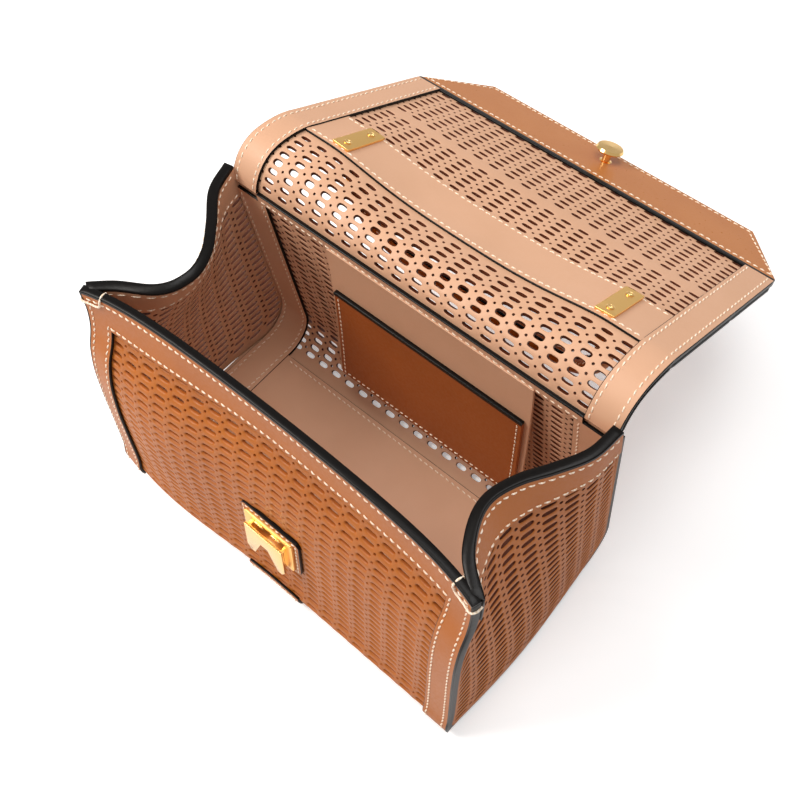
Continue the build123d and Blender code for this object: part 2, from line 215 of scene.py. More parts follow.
@dataclass(frozen=True)
class EdgePaint:
    """Acrylic edge paint, laid on in coats over a cut leather edge: black, wet-looking, a
    little uneven along its length."""

    name: str
    colour: str = "#070504"
    roughness: float = 0.3
    ripple_mm: float = 2.2

    def make(self) -> bpy.types.Material:
        """Build the painted edge's material.

        Returns:
            The material.
        """
        material, tree, shader = new_material(self.name)
        place = add_node(tree, "ShaderNodeTexCoord").outputs["Object"]
        ripple = add_node(
            tree, "ShaderNodeTexNoise", Vector=place, Scale=1 / (self.ripple_mm * MM), Detail=2.0
        )
        tint = add_node(
            tree,
            "ShaderNodeMix",
            {"data_type": "RGBA"},
            i0=ripple.outputs["Fac"],
            i6=linear(self.colour),
            i7=linear("#100c0a"),
        )
        tree.links.new(tint.outputs[2], shader.inputs["Base Color"])
        bump = add_node(
            tree, "ShaderNodeBump", Strength=0.3, Distance=0.15 * MM,
            Height=ripple.outputs["Fac"]
        )
        tree.links.new(bump.outputs["Normal"], shader.inputs["Normal"])
        shader.inputs["Roughness"].default_value = self.roughness
        shader.inputs["Specular IOR Level"].default_value = 0.16
        return material


@dataclass(frozen=True)
class WaxedThread:
    """Thick waxed linen thread, laid from three plies. The ply lines are drawn coarser than
    the real 0.3 mm, so that they show."""

    name: str
    colour: str = "#fff1df"
    ply_mm: float = 0.6

    def make(self) -> bpy.types.Material:
        """Build the thread's material.

        Returns:
            The material.
        """
        material, tree, shader = new_material(self.name)
        place = add_node(tree, "ShaderNodeTexCoord").outputs["Object"]
        plies = add_node(
            tree, "ShaderNodeTexWave", {"bands_direction": "DIAGONAL"}, Vector=place,
            Scale=1 / (self.ply_mm * MM) / math.tau, Distortion=1.0
        )
        tint = add_node(
            tree,
            "ShaderNodeMix",
            {"data_type": "RGBA"},
            i0=plies.outputs["Fac"],
            i6=linear("#ecd0b0"),
            i7=linear(self.colour),
        )
        tree.links.new(tint.outputs[2], shader.inputs["Base Color"])
        bump = add_node(
            tree, "ShaderNodeBump", Strength=0.5, Distance=0.12 * MM, Height=plies.outputs["Fac"]
        )
        tree.links.new(bump.outputs["Normal"], shader.inputs["Normal"])
        shader.inputs["Roughness"].default_value = 0.6
        return material


@dataclass(frozen=True)
class GoldBrass:
    """Cast brass with a gold plate, either brushed satin or buffed bright."""

    name: str
    colour: str
    roughness: float
    grit_mm: float = 0.25
    scratch: float = 0.04

    def make(self) -> bpy.types.Material:
        """Build the metal's material.

        Returns:
            The material.
        """
        material, tree, shader = new_material(self.name)
        place = add_node(tree, "ShaderNodeTexCoord").outputs["Object"]
        stretched = add_node(
            tree, "ShaderNodeMapping", Vector=place, Scale=(1.0, 12.0, 12.0)
        )
        brush = add_node(
            tree, "ShaderNodeTexNoise", Vector=stretched.outputs["Vector"],
            Scale=1 / (self.grit_mm * 12 * MM), Detail=3.0
        )
        rough = add_node(
            tree, "ShaderNodeMapRange", Value=brush.outputs["Fac"], From_Min=0.3, From_Max=0.7,
            To_Min=self.roughness - self.scratch, To_Max=self.roughness + self.scratch
        )
        tree.links.new(rough.outputs["Result"], shader.inputs["Roughness"])
        bump = add_node(
            tree, "ShaderNodeBump", Strength=0.12, Distance=0.02 * MM,
            Height=brush.outputs["Fac"]
        )
        tree.links.new(bump.outputs["Normal"], shader.inputs["Normal"])
        shader.inputs["Base Color"].default_value = linear(self.colour)
        shader.inputs["Metallic"].default_value = 1.0
        return material


@dataclass
class Finishes:
    """Every material of the bag, made once."""

    brown: bpy.types.Material = field(init=False)
    beige: bpy.types.Material = field(init=False)
    wall: bpy.types.Material = field(init=False)
    # Darkened copy of the punched-wall leather: painted shade for the insides of the slots
    core: bpy.types.Material = field(init=False)
    pocket: bpy.types.Material = field(init=False)
    end: bpy.types.Material = field(init=False)
    edge: bpy.types.Material = field(init=False)
    thread: bpy.types.Material = field(init=False)
    satin: bpy.types.Material = field(init=False)
    bright: bpy.types.Material = field(init=False)

    def __post_init__(self) -> None:
        """Make the materials."""
        self.brown = SmoothCalf("calf_tan_outside", "#b2631c", "#a45817", 0.42).make()
        self.beige = SmoothCalf("calf_natural_inside", "#d2a383", "#c99a79", 0.5).make()
        self.wall = SmoothCalf("calf_punched_wall", "#ad5f22", "#9c511a", 0.45).make()
        # Punched walls of the back, gussets and flap: the wall leather darkened to paint the shade
        # inside the slots
        self.core = SmoothCalf("calf_punched_painted_shade", "#5e2a0e", "#4a1e09", 0.6).make()
        self.pocket = SmoothCalf("calf_tan_pocket", "#9c4f17", "#914713", 0.42).make()
        self.end = SmoothCalf("calf_tan_flap_end", "#b9753f", "#ae6a36", 0.32).make()
        self.edge = EdgePaint("edge_paint_black").make()
        self.thread = WaxedThread("linen_thread_waxed").make()
        self.satin = GoldBrass("brass_gold_plated_satin", "#ffcd7c", 0.36).make()
        self.bright = GoldBrass("brass_gold_plated_buffed", "#ffd288", 0.18).make()


# Curves and surfaces


def smooth_table(knots: Sequence[float], values: Sequence[float], at: Array) -> Array:
    """Read a smooth curve through a short table, without overshoot.

    Args:
        knots: rising positions.
        values: the value at each of them.
        at: positions to read, held to the table's ends.

    Returns:
        The curve's value at each position.
    """
    x, y = np.asarray(knots, float), np.asarray(values, float)
    step, rise = np.diff(x), np.diff(y)
    slope = rise / step
    tangent = np.zeros_like(y)
    tangent[0], tangent[-1] = slope[0], slope[-1]
    same = slope[:-1] * slope[1:] > 0
    mean = 2 * slope[:-1] * slope[1:] / np.where(same, slope[:-1] + slope[1:], 1.0)
    tangent[1:-1] = np.where(same, mean, 0.0)
    t_all = np.clip(at, x[0], x[-1])
    index = np.clip(np.searchsorted(x, t_all, side="right") - 1, 0, len(x) - 2)
    h = step[index]
    t = (t_all - x[index]) / h
    one = (1 + 2 * t) * (1 - t) ** 2 * y[index] + t * (1 - t) ** 2 * h * tangent[index]
    two = t * t * (3 - 2 * t) * y[index + 1] + t * t * (t - 1) * h * tangent[index + 1]
    return one + two


@dataclass
class Profile:
    """A smooth line in the YZ plane, read by its length from the start.

    The line runs on straight past both its ends.
    """

    points: Sequence[tuple[float, float]]
    samples: int = 600

    def __post_init__(self) -> None:
        """Work out the length along the line."""
        pts = np.asarray(self.points, float)
        rough = np.concatenate([[0.0], np.cumsum(np.hypot(*np.diff(pts, axis=0).T))])
        fine = np.linspace(0, rough[-1], self.samples)
        self.y = catmull(rough, pts[:, 0], fine)
        self.z = catmull(rough, pts[:, 1], fine)
        gaps = np.hypot(np.diff(self.y), np.diff(self.z))
        self.s = np.concatenate([[0.0], np.cumsum(gaps)])

    @property
    def length(self) -> float:
        """Length of the line.

        Returns:
            The length in mm.
        """
        return float(self.s[-1])

    def at(self, s: Array) -> tuple[Array, Array]:
        """Point at a length along the line.

        Args:
            s: lengths from the start, in mm.

        Returns:
            Y and Z of each.
        """
        y, z = np.interp(s, self.s, self.y), np.interp(s, self.s, self.z)
        before, after = np.minimum(s, 0.0), np.maximum(s - self.s[-1], 0.0)
        y0, z0 = self.y[1] - self.y[0], self.z[1] - self.z[0]
        y1, z1 = self.y[-1] - self.y[-2], self.z[-1] - self.z[-2]
        first, last = math.hypot(y0, z0), math.hypot(y1, z1)
        return (
            y + before * y0 / first + after * y1 / last,
            z + before * z0 / first + after * z1 / last,
        )


def catmull(knots: Array, values: Array, at: Array) -> Array:
    """Smooth curve through points at uneven knots.

    Args:
        knots: rising positions.
        values: the value at each of them.
        at: positions to read.

    Returns:
        The curve's value at each position.
    """
    step = np.diff(knots)
    slope = np.diff(values) / step
    tangent = np.zeros_like(values)
    tangent[0], tangent[-1] = slope[0], slope[-1]
    weight = step[1:] / (step[:-1] + step[1:])
    tangent[1:-1] = slope[:-1] * weight + slope[1:] * (1 - weight)
    index = np.clip(np.searchsorted(knots, at, side="right") - 1, 0, len(knots) - 2)
    h = step[index]
    t = (at - knots[index]) / h
    one = (1 + 2 * t) * (1 - t) ** 2 * values[index] + t * (1 - t) ** 2 * h * tangent[index]
    two = t * t * (3 - 2 * t) * values[index + 1]
    return one + two + t * t * (t - 1) * h * tangent[index + 1]


def raised(surface: Surface, u: Array, v: Array, height: Array | float) -> Array:
    """Points at a height over a surface.

    Args:
        surface: place of each (u, v), in mm.
        u: first parameter, in mm.
        v: second parameter, in mm.
        height: distance along the surface's normal, which is u cross v.

    Returns:
        The points, one row each.
    """
    step = 0.4
    base = surface(u, v)
    along_u = surface(u + step, v) - surface(u - step, v)
    along_v = surface(u, v + step) - surface(u, v - step)
    normal = np.cross(along_u, along_v)
    normal /= np.linalg.norm(normal, axis=-1, keepdims=True)
    lift = np.broadcast_to(np.asarray(height, float), u.shape)
    return base + normal * lift[..., None]


# Mesh making

# Points closer than this become one
MERGE_MM = 0.002


@dataclass
class MeshParts:
    """Vertices and faces gathered for one piece, in mm."""

    vertices: list[Array] = field(default_factory=list)
    faces: list[Array] = field(default_factory=list)
    materials: list[Array] = field(default_factory=list)
    count: int = 0

    def add(self, points: Array, quads: Array, material: int | Array) -> None:
        """Add points and the quads between them.

        Args:
            points: one row of X, Y, Z each.
            quads: one row of four indices into points each.
            material: slot index of the faces.
        """
        self.vertices.append(points.reshape(-1, 3))
        self.faces.append(quads.reshape(-1, 4) + self.count)
        self.materials.append(np.broadcast_to(np.asarray(material), (len(self.faces[-1]),)))
        self.count += len(self.vertices[-1])

    def build(
        self,
        name: str,
        materials: Sequence[bpy.types.Material],
        sharp_deg: float = 40.0,
    ) -> bpy.types.Object:
        """Make the Blender object.

        Args:
            name: the piece's name.
            materials: one per slot index.
            sharp_deg: edges bent by more than this stay sharp.

        Returns:
            The new object, in metres.
        """
        points = np.concatenate(self.vertices)
        quads = np.concatenate(self.faces)
        slots = np.concatenate(self.materials)
        keys = np.round(points / MERGE_MM / 2).astype(np.int64)
        _, first, inverse = np.unique(keys, axis=0, return_index=True, return_inverse=True)
        inverse = inverse.reshape(-1)
        quads = inverse[quads]
        points = points[first]
        rows, kept = [], []
        for row, slot in zip(quads.tolist(), slots.tolist()):
            ring = [row[i] for i in range(4) if row[i] != row[i - 1]]
            if len(ring) > 2 and len(set(ring)) == len(ring):
                rows.append(ring)
                kept.append(slot)
        mesh = bpy.data.meshes.new(name)
        mesh.from_pydata((points * MM).tolist(), [], rows)
        for material in materials:
            mesh.materials.append(material)
        mesh.polygons.foreach_set("material_index", np.asarray(kept, np.int32))
        mesh.polygons.foreach_set("use_smooth", np.full(len(rows), True))
        mesh.validate()
        mesh.update()
        mesh.set_sharp_from_angle(angle=math.radians(sharp_deg))
        made = bpy.data.objects.new(name, mesh)
        bpy.context.scene.collection.objects.link(made)
        return made


def grid_quads(rows: int, columns: int) -> Array:
    """Quads of a grid of points laid out row by row.

    Args:
        rows: points down.
        columns: points across.

    Returns:
        One row of four indices for each quad, turning from +column to +row.
    """
    index = np.arange(rows * columns).reshape(rows, columns)
    corners = (index[:-1, :-1], index[:-1, 1:], index[1:, 1:], index[1:, :-1])
    return np.stack(corners, axis=-1).reshape(-1, 4)


# A rim's rounding: share of its bulge, and share of the way from the upper face to the lower
EDGE_TURNS = (
    (0.0, 0.0), (0.35, 0.02), (0.75, 0.12), (1.0, 0.38),
    (1.0, 0.62), (0.75, 0.88), (0.35, 0.98), (0.0, 1.0),
)
# Slot number of a rim that stays open, where a sheet runs on into its neighbour
OPEN_RIM = 9


def add_plate(
    parts: MeshParts,
    surface: Surface,
    outline_u: Array,
    outline_v: Array,
    low: float,
    high: float,
    top: int,
    bottom: int,
    edge: int | Sequence[int],
    round_mm: float = 0.5,
) -> None:
    """Add a sheet with rounded painted edges, from a grid of places on a surface.

    Args:
        parts: what gets the sheet.
        surface: the surface that it follows.
        outline_u: grid of first parameters, rows by columns.
        outline_v: grid of second parameters, the same shape.
        low: height of its lower face over the surface.
        high: height of its upper face.
        top: slot of the upper face.
        bottom: slot of the lower face.
        edge: slot of the rim, or four for first row, last column, last row, first column.
        round_mm: how far the rim bulges past the faces.
    """
    rows, columns = outline_u.shape
    upper = raised(surface, outline_u, outline_v, high)
    lower = raised(surface, outline_u, outline_v, low)
    parts.add(upper, grid_quads(rows, columns), top)
    parts.add(lower, grid_quads(rows, columns)[:, ::-1], bottom)
    sides = (
        (slice(0, 1), slice(None), 0),
        (slice(None), slice(columns - 1, columns), 1),
        (slice(rows - 1, rows), slice(None), 2),
        (slice(None), slice(0, 1), 3),
    )
    slots = [edge] * 4 if isinstance(edge, int) else list(edge)
    for down, across, number in sides:
        u, v = outline_u[down, across].ravel(), outline_v[down, across].ravel()
        if number in (2, 3):
            u, v = u[::-1], v[::-1]
        centre_u, centre_v = outline_u.mean(), outline_v.mean()
        run_u, run_v = np.gradient(u), np.gradient(v)
        length = np.hypot(run_u, run_v) + 1e-9
        out_u, out_v = run_v / length, -run_u / length
        middle = len(u) // 2
        toward = (u[middle] - centre_u) * out_u[middle] + (v[middle] - centre_v) * out_v[middle]
        flip = -1.0 if toward < 0 else 1.0
        rings = []
        for bulge, share in EDGE_TURNS:
            taper = np.ones_like(u)
            taper[0] = taper[-1] = 0.0
            reach = round_mm * bulge * flip * taper
            height = high + (low - high) * share
            rings.append(raised(surface, u + out_u * reach, v + out_v * reach, height))
        strip = np.stack(rings)
        parts.add(strip, grid_quads(len(EDGE_TURNS), len(u)), slots[number])


def region(u0: float, u1: float, v0: float, v1: float, step: float = 4.0) -> tuple[Array, Array]:
    """Even grid over a rectangle of parameters.

    Args:
        u0: first u.
        u1: last u.
        v0: first v.
        v1: last v.
        step: longest spacing, in mm.

    Returns:
        Grids of u and v.
    """
    across = max(2, int(math.ceil(abs(u1 - u0) / step)) + 1)
    down = max(2, int(math.ceil(abs(v1 - v0) / step)) + 1)
    return np.meshgrid(np.linspace(u0, u1, across), np.linspace(v0, v1, down))


@dataclass
class PunchPattern:
    """The punched pattern: a slot in the middle of each cell and a dot at each corner.

    All sizes are in mm. Slot half sizes may change with v, because a bend opens them.
    """

    pitch_u: float
    pitch_v: float
    half_length: float = 3.75
    half_width: float = 1.72
    dot_radius: float = 0.75
    bevel: float = 0.4
    bevel_depth: float = 0.5
    open_at: float = 0.0
    open_spread: float = 9.0
    open_by: float = 0.0

    def slot_ring(self, centre_u: Array, centre_v: Array, grow: float) -> tuple[Array, Array]:
        """Outline of each slot, sixteen points from the +u side.

        Args:
            centre_u: middle of each slot.
            centre_v: middle of each slot.
            grow: how far the outline stands outside the slot's wall.

        Returns:
            Grids of u and v, one row for each slot.
        """
        widen = self.open_by * np.exp(-(((centre_v - self.open_at) / self.open_spread) ** 2))
        half_w = (self.half_width + widen + grow)[:, None]
        half_l = (self.half_length - 0.45 * widen + grow)[:, None]
        turn = np.arange(16) * math.tau / 16
        c, s = np.cos(turn), np.sin(turn)
        power = 0.62
        u = np.sign(c) * np.abs(c) ** power * half_l
        v = np.sign(s) * np.abs(s) ** 0.85 * half_w
        return centre_u[:, None] + u, centre_v[:, None] + v

    def cell_ring(self, centre_u: Array, centre_v: Array, bites: Array) -> tuple[Array, Array]:
        """Outline of each cell, sixteen points from the +u side, with a bite at its corners.

        Args:
            centre_u: middle of each cell.
            centre_v: middle of each cell.
            bites: radius of the bite at the corners (+u+v, -u+v, -u-v, +u-v), a row each.

        Returns:
            Grids of u and v, one row for each cell.
        """
        a, b = self.pitch_u / 2, self.pitch_v / 2
        k = math.sqrt(0.5)
        r = [bites[:, i] for i in range(4)]
        zero = np.zeros_like(centre_u)
        us = [
            zero + a, zero + a, a - k * r[0], a - r[0], zero,
            -a + r[1], -a + k * r[1], zero - a, zero - a, zero - a,
            -a + k * r[2], -a + r[2], zero, a - r[3], a - k * r[3], zero + a,
        ]
        vs = [
            zero, b - r[0], b - k * r[0], zero + b, zero + b,
            zero + b, b - k * r[1], b - r[1], zero, -b + r[2],
            -b + k * r[2], zero - b, zero - b, zero - b, -b + k * r[3], -b + r[3],
        ]
        return centre_u[:, None] + np.stack(us, 1), centre_v[:, None] + np.stack(vs, 1)


@dataclass
class PunchedSheet:
    """A leather sheet punched with slots and dots over a block of cells, plain round it."""

    surface: Surface
    pattern: PunchPattern
    first_u: float
    first_v: float
    columns: int
    rows: int
    u_range: tuple[float, float]
    v_range: tuple[float, float]
    low: float
    high: float
    plain_step: float = 5.0

    def lines(self) -> tuple[Array, Array]:
        """Grid lines of the whole sheet: plain margins, then cells with their middles.

        Returns:
            Lines along u and lines along v.
        """
        a, b = self.pattern.pitch_u, self.pattern.pitch_v
        start_u, start_v = self.first_u - a / 2, self.first_v - b / 2
        inner_u = start_u + np.arange(self.columns * 2 + 1) * a / 2
        inner_v = start_v + np.arange(self.rows * 2 + 1) * b / 2
        return (
            self._with_margins(inner_u, self.u_range),
            self._with_margins(inner_v, self.v_range),
        )

    def _with_margins(self, inner: Array, limits: tuple[float, float]) -> Array:
        """Add evenly spaced lines from the block's edges out to the sheet's.

        Args:
            inner: lines of the punched block.
            limits: first and last place of the sheet.

        Returns:
            All the lines.
        """
        pieces = []
        if inner[0] - limits[0] > 0.05:
            n = max(1, int(math.ceil((inner[0] - limits[0]) / self.plain_step)))
            pieces.append(np.linspace(limits[0], inner[0], n + 1)[:-1])
        pieces.append(inner)
        if limits[1] - inner[-1] > 0.05:
            n = max(1, int(math.ceil((limits[1] - inner[-1]) / self.plain_step)))
            pieces.append(np.linspace(inner[-1], limits[1], n + 1)[1:])
        return np.concatenate(pieces)

    def build(self, parts: MeshParts, outer: int, inner: int, wall: int, edge: int) -> None:
        """Add the sheet to a piece.

        Args:
            parts: what gets the sheet.
            outer: slot of the face at the high side.
            inner: slot of the face at the low side.
            wall: slot of the punched walls.
            edge: slot of the sheet's rim.
        """
        self._cells(parts, outer, inner, wall)
        self._margins(parts, outer, inner)
        self._rim(parts, edge)

    def _cells(self, parts: MeshParts, outer: int, inner: int, wall: int) -> None:
        """Add every punched cell: faces, bevels, slot walls and dot walls.

        Args:
            parts: what gets the faces.
            outer: slot of the face at the high side.
            inner: slot of the face at the low side.
            wall: slot of the punched walls.
        """
        pattern = self.pattern
        i, j = np.meshgrid(np.arange(self.columns), np.arange(self.rows))
        i, j = i.ravel(), j.ravel()
        cu = self.first_u + i * pattern.pitch_u
        cv = self.first_v + j * pattern.pitch_v
        right, left = i < self.columns - 1, i > 0
        up, down = j < self.rows - 1, j > 0
        flags = np.stack([right & up, left & up, left & down, right & down], 1)
        bites = flags * pattern.dot_radius
        wide = flags * (pattern.dot_radius + 0.25)
        rings = []
        d, bevel = pattern.bevel_depth, pattern.bevel
        high, low = self.high, self.low
        cell_top = pattern.cell_ring(cu, cv, wide)
        cell_mid = pattern.cell_ring(cu, cv, bites)
        wall_ring = pattern.slot_ring(cu, cv, 0.0)
        levels = (
            (cell_top, high),
            (pattern.slot_ring(cu, cv, bevel), high),
            (pattern.slot_ring(cu, cv, bevel * 0.55), high - d * 0.12),
            (pattern.slot_ring(cu, cv, bevel * 0.2), high - d * 0.45),
            (wall_ring, high - d),
            (wall_ring, low + 0.3),
            (pattern.slot_ring(cu, cv, 0.3), low),
            (cell_top, low),
        )
        for (u, v), height in levels:
            rings.append(raised(self.surface, u, v, height))
        stack = np.stack(rings, axis=1)
        cells, layers, count = stack.shape[:3]
        index = np.arange(cells * layers * count).reshape(cells, layers, count)
        after = np.roll(index, -1, axis=2)
        quads, slots = [], []
        for layer, slot in enumerate((outer, outer, outer, wall, wall, inner, inner)):
            quad = np.stack(
                [index[:, layer], index[:, layer + 1], after[:, layer + 1], after[:, layer]], -1
            )
            quads.append(quad[..., ::-1].reshape(-1, 4))
            slots.append(np.full(quads[-1].shape[0], slot))
        parts.add(stack, np.concatenate(quads), np.concatenate(slots))
        self._dots(parts, cu, cv, flags, wall, cell_top, cell_mid)

    def _dots(
        self,
        parts: MeshParts,
        cu: Array,
        cv: Array,
        flags: Array,
        wall: int,
        wide: tuple[Array, Array],
        tight: tuple[Array, Array],
    ) -> None:
        """Add the walls of the dots, a quarter from each cell.

        Args:
            parts: what gets the faces.
            cu: middle of each cell; not used.
            cv: middle of each cell; not used.
            flags: which corners of each cell have a dot.
            wall: slot of the walls.
            wide: cell outlines at the faces.
            tight: cell outlines inside the leather.
        """
        d = 0.35
        runs = ((1, 2, 3), (5, 6, 7), (9, 10, 11), (13, 14, 15))
        high, low = self.high, self.low
        levels = ((wide, high), (tight, high - d), (tight, low + d), (wide, low))
        for corner, run in enumerate(runs):
            keep = flags[:, corner]
            picked = []
            for (u, v), height in levels:
                ring_u, ring_v = u[keep][:, run], v[keep][:, run]
                picked.append(raised(self.surface, ring_u, ring_v, height))
            stack = np.stack(picked, axis=1)
            index = np.arange(stack.shape[0] * 12).reshape(-1, 4, 3)
            quad = np.stack(
                [index[:, :-1, :-1], index[:, :-1, 1:], index[:, 1:, 1:], index[:, 1:, :-1]], -1
            )
            parts.add(stack, quad.reshape(-1, 4)[:, ::-1], wall)

    def _margins(self, parts: MeshParts, outer: int, inner: int) -> None:
        """Add the plain part of the sheet, round the punched block.

        Args:
            parts: what gets the faces.
            outer: slot of the face at the high side.
            inner: slot of the face at the low side.
        """
        lines_u, lines_v = self.lines()
        u, v = np.meshgrid(lines_u, lines_v)
        quads = grid_quads(len(lines_v), len(lines_u))
        a, b = self.pattern.pitch_u, self.pattern.pitch_v
        box_u = (self.first_u - a / 2, self.first_u + a * (self.columns - 0.5))
        box_v = (self.first_v - b / 2, self.first_v + b * (self.rows - 0.5))
        mid_u, mid_v = u.ravel()[quads].mean(1), v.ravel()[quads].mean(1)
        inside = (mid_u > box_u[0]) & (mid_u < box_u[1]) & (mid_v > box_v[0]) & (mid_v < box_v[1])
        plain = quads[~inside]
        parts.add(raised(self.surface, u, v, self.high), plain, outer)
        parts.add(raised(self.surface, u, v, self.low), plain[:, ::-1], inner)

    def _rim(self, parts: MeshParts, edge: int) -> None:
        """Add the sheet's cut edge.

        Args:
            parts: what gets the faces.
            edge: slot of the edge.
        """
        lines_u, lines_v = self.lines()
        down = np.concatenate([
            np.stack([lines_u, np.full_like(lines_u, lines_v[0])], 1),
            np.stack([np.full_like(lines_v, lines_u[-1]), lines_v], 1)[1:],
            np.stack([lines_u[::-1], np.full_like(lines_u, lines_v[-1])], 1)[1:],
            np.stack([np.full_like(lines_v, lines_u[0]), lines_v[::-1]], 1)[1:],
        ])
        top = raised(self.surface, down[:, 0], down[:, 1], self.high)
        bottom = raised(self.surface, down[:, 0], down[:, 1], self.low)
        parts.add(np.stack([top, bottom]), grid_quads(2, len(down))[:, ::-1], edge)


@dataclass
class StitchLine:
    """A row of saddle stitches along a line on a surface."""

    surface: Surface
    pitch: float = 4.5
    length: float = 3.3
    radius: float = 0.5
    slant: float = 0.16
    facing: float = 1.0

    def add(self, parts: MeshParts, path: Sequence[tuple[float, float]], height: float) -> None:
        """Lay stitches along a path of (u, v) corners.

        Args:
            parts: what gets the thread.
            path: corners of the line, in mm.
            height: height of the leather's face over the surface.
        """
        corners = np.asarray(path, float)
        gaps = np.hypot(*np.diff(corners, axis=0).T)
        total = gaps.sum()
        count = max(1, int(round(total / self.pitch)))
        spot = (np.arange(count) + 0.5) * total / count
        s = np.concatenate([[0.0], np.cumsum(gaps)])
        self._place(parts, corners, s, spot, height)

    def sew(
        self,
        name: str,
        thread: bpy.types.Material,
        paths: Sequence[Sequence[tuple[float, float]]],
        height: float,
        body: str = "root",
        turn_back: bool = False,
    ) -> None:
        """Lay stitches along paths as one piece that rides a body.

        Args:
            name: the piece's name.
            thread: its material.
            paths: corners of each line, in mm.
            height: height of the leather's face over the surface.
            body: name of the CAD body.
            turn_back: whether the surface is a mirrored one.
        """
        parts = MeshParts()
        for path in paths:
            self.add(parts, path, height)
        parts = unmirrored(parts) if turn_back else parts
        place_piece(parts.build(name, [thread]), body, Slot.THREAD)

    def _place(
        self, parts: MeshParts, corners: Array, s: Array, spot: Array, height: float
    ) -> None:
        """Put one capsule of thread at each spot.

        Args:
            parts: what gets the thread.
            corners: corners of the line.
            s: length along the line at each corner.
            spot: length along the line at each stitch.
            height: height of the leather's face over the surface.
        """
        u, v = np.interp(spot, s, corners[:, 0]), np.interp(spot, s, corners[:, 1])
        u2 = np.interp(spot + 0.5, s, corners[:, 0])
        v2 = np.interp(spot + 0.5, s, corners[:, 1])
        u1 = np.interp(spot - 0.5, s, corners[:, 0])
        v1 = np.interp(spot - 0.5, s, corners[:, 1])
        du, dv = u2 - u1, v2 - v1
        run = np.hypot(du, dv) + 1e-9
        du, dv = du / run, dv / run
        tilt = math.atan(self.slant)
        along_u = du * math.cos(tilt) - dv * math.sin(tilt)
        along_v = dv * math.cos(tilt) + du * math.sin(tilt)
        stations = ((-1.0, 0.0, -0.5), (-0.86, 0.62, -0.2), (-0.5, 0.95, 0.25), (0.0, 1.0, 0.4),
                    (0.5, 0.95, 0.25), (0.86, 0.62, -0.2), (1.0, 0.0, -0.5))
        turn = np.arange(6) * math.tau / 6
        rings = []
        for reach, girth, lift in stations:
            across = np.cos(turn)[None, :] * self.radius * girth
            up = self.facing * (np.sin(turn)[None, :] * girth + lift) * self.radius
            place_u = (u + along_u * reach * self.length / 2)[:, None] - along_v[:, None] * across
            place_v = (v + along_v * reach * self.length / 2)[:, None] + along_u[:, None] * across
            rings.append(raised(self.surface, place_u, place_v, height + up + 0 * place_u))
        stack = np.stack(rings, axis=1)
        index = np.arange(stack.shape[0] * 42).reshape(-1, 7, 6)
        after = np.roll(index, -1, axis=2)
        quad = np.stack([index[:, :-1], after[:, :-1], after[:, 1:], index[:, 1:]], -1)
        parts.add(stack, quad.reshape(-1, 4), 0)


def place_piece(made: bpy.types.Object, body: str, slot: Slot, *nodes: str) -> None:
    """Attach a piece to the body that it rides on, and hide the nodes that it stands for.

    Args:
        made: the piece.
        body: name of the CAD body.
        slot: the record's material slot; passed on to dress_piece, which does not use it.
        nodes: CAD nodes that the piece replaces.
    """
    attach(made, body)
    dress_piece(made, slot, *nodes)


def dress_piece(made: bpy.types.Object, slot: Slot, *nodes: str) -> None:
    """Hide the nodes that a piece stands for, and report its face count.

    Args:
        made: the piece.
        slot: the record's material slot; not used.
        nodes: CAD nodes that the piece replaces.
    """
    if nodes:
        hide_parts(*nodes)
    LOG.info("%s: %d faces", made.name, len(made.data.polygons))


def bend_piece(
    made: bpy.types.Object,
    bodies: tuple[str, str],
    start: tuple[float, float],
    end: tuple[float, float],
    slot: Slot,
    *nodes: str,
) -> None:
    """Bake a piece's transform into its mesh, and hide the nodes that it stands for; it is not
    bent across the joint.

    Args:
        made: the piece.
        bodies: the bodies before and after the joint; not used.
        start: Y and Z in mm where it stops following the first; not used.
        end: Y and Z in mm where it follows only the second; not used.
        slot: the record's material slot; passed on to dress_piece, which does not use it.
        nodes: CAD nodes that the piece replaces.
    """
    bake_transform(made)
    dress_piece(made, slot, *nodes)


# The bag's own sizes, in mm

HALF_WIDTH = 135.0
HEIGHT = 162.0
BASE_FRONT_Y = -74.0
BASE_BACK_Y = 74.0
BACK_TOP_Y = 66.0
CORNER_RADIUS = 25.0
SHEET = 2.7
BAND = 2.0
PITCH = 12.09
GUSSET_SPAN = 110.0
GUSSET_COLUMNS = 9
BORDER_TOP = 22.0
BORDER_SIDE = 17.0


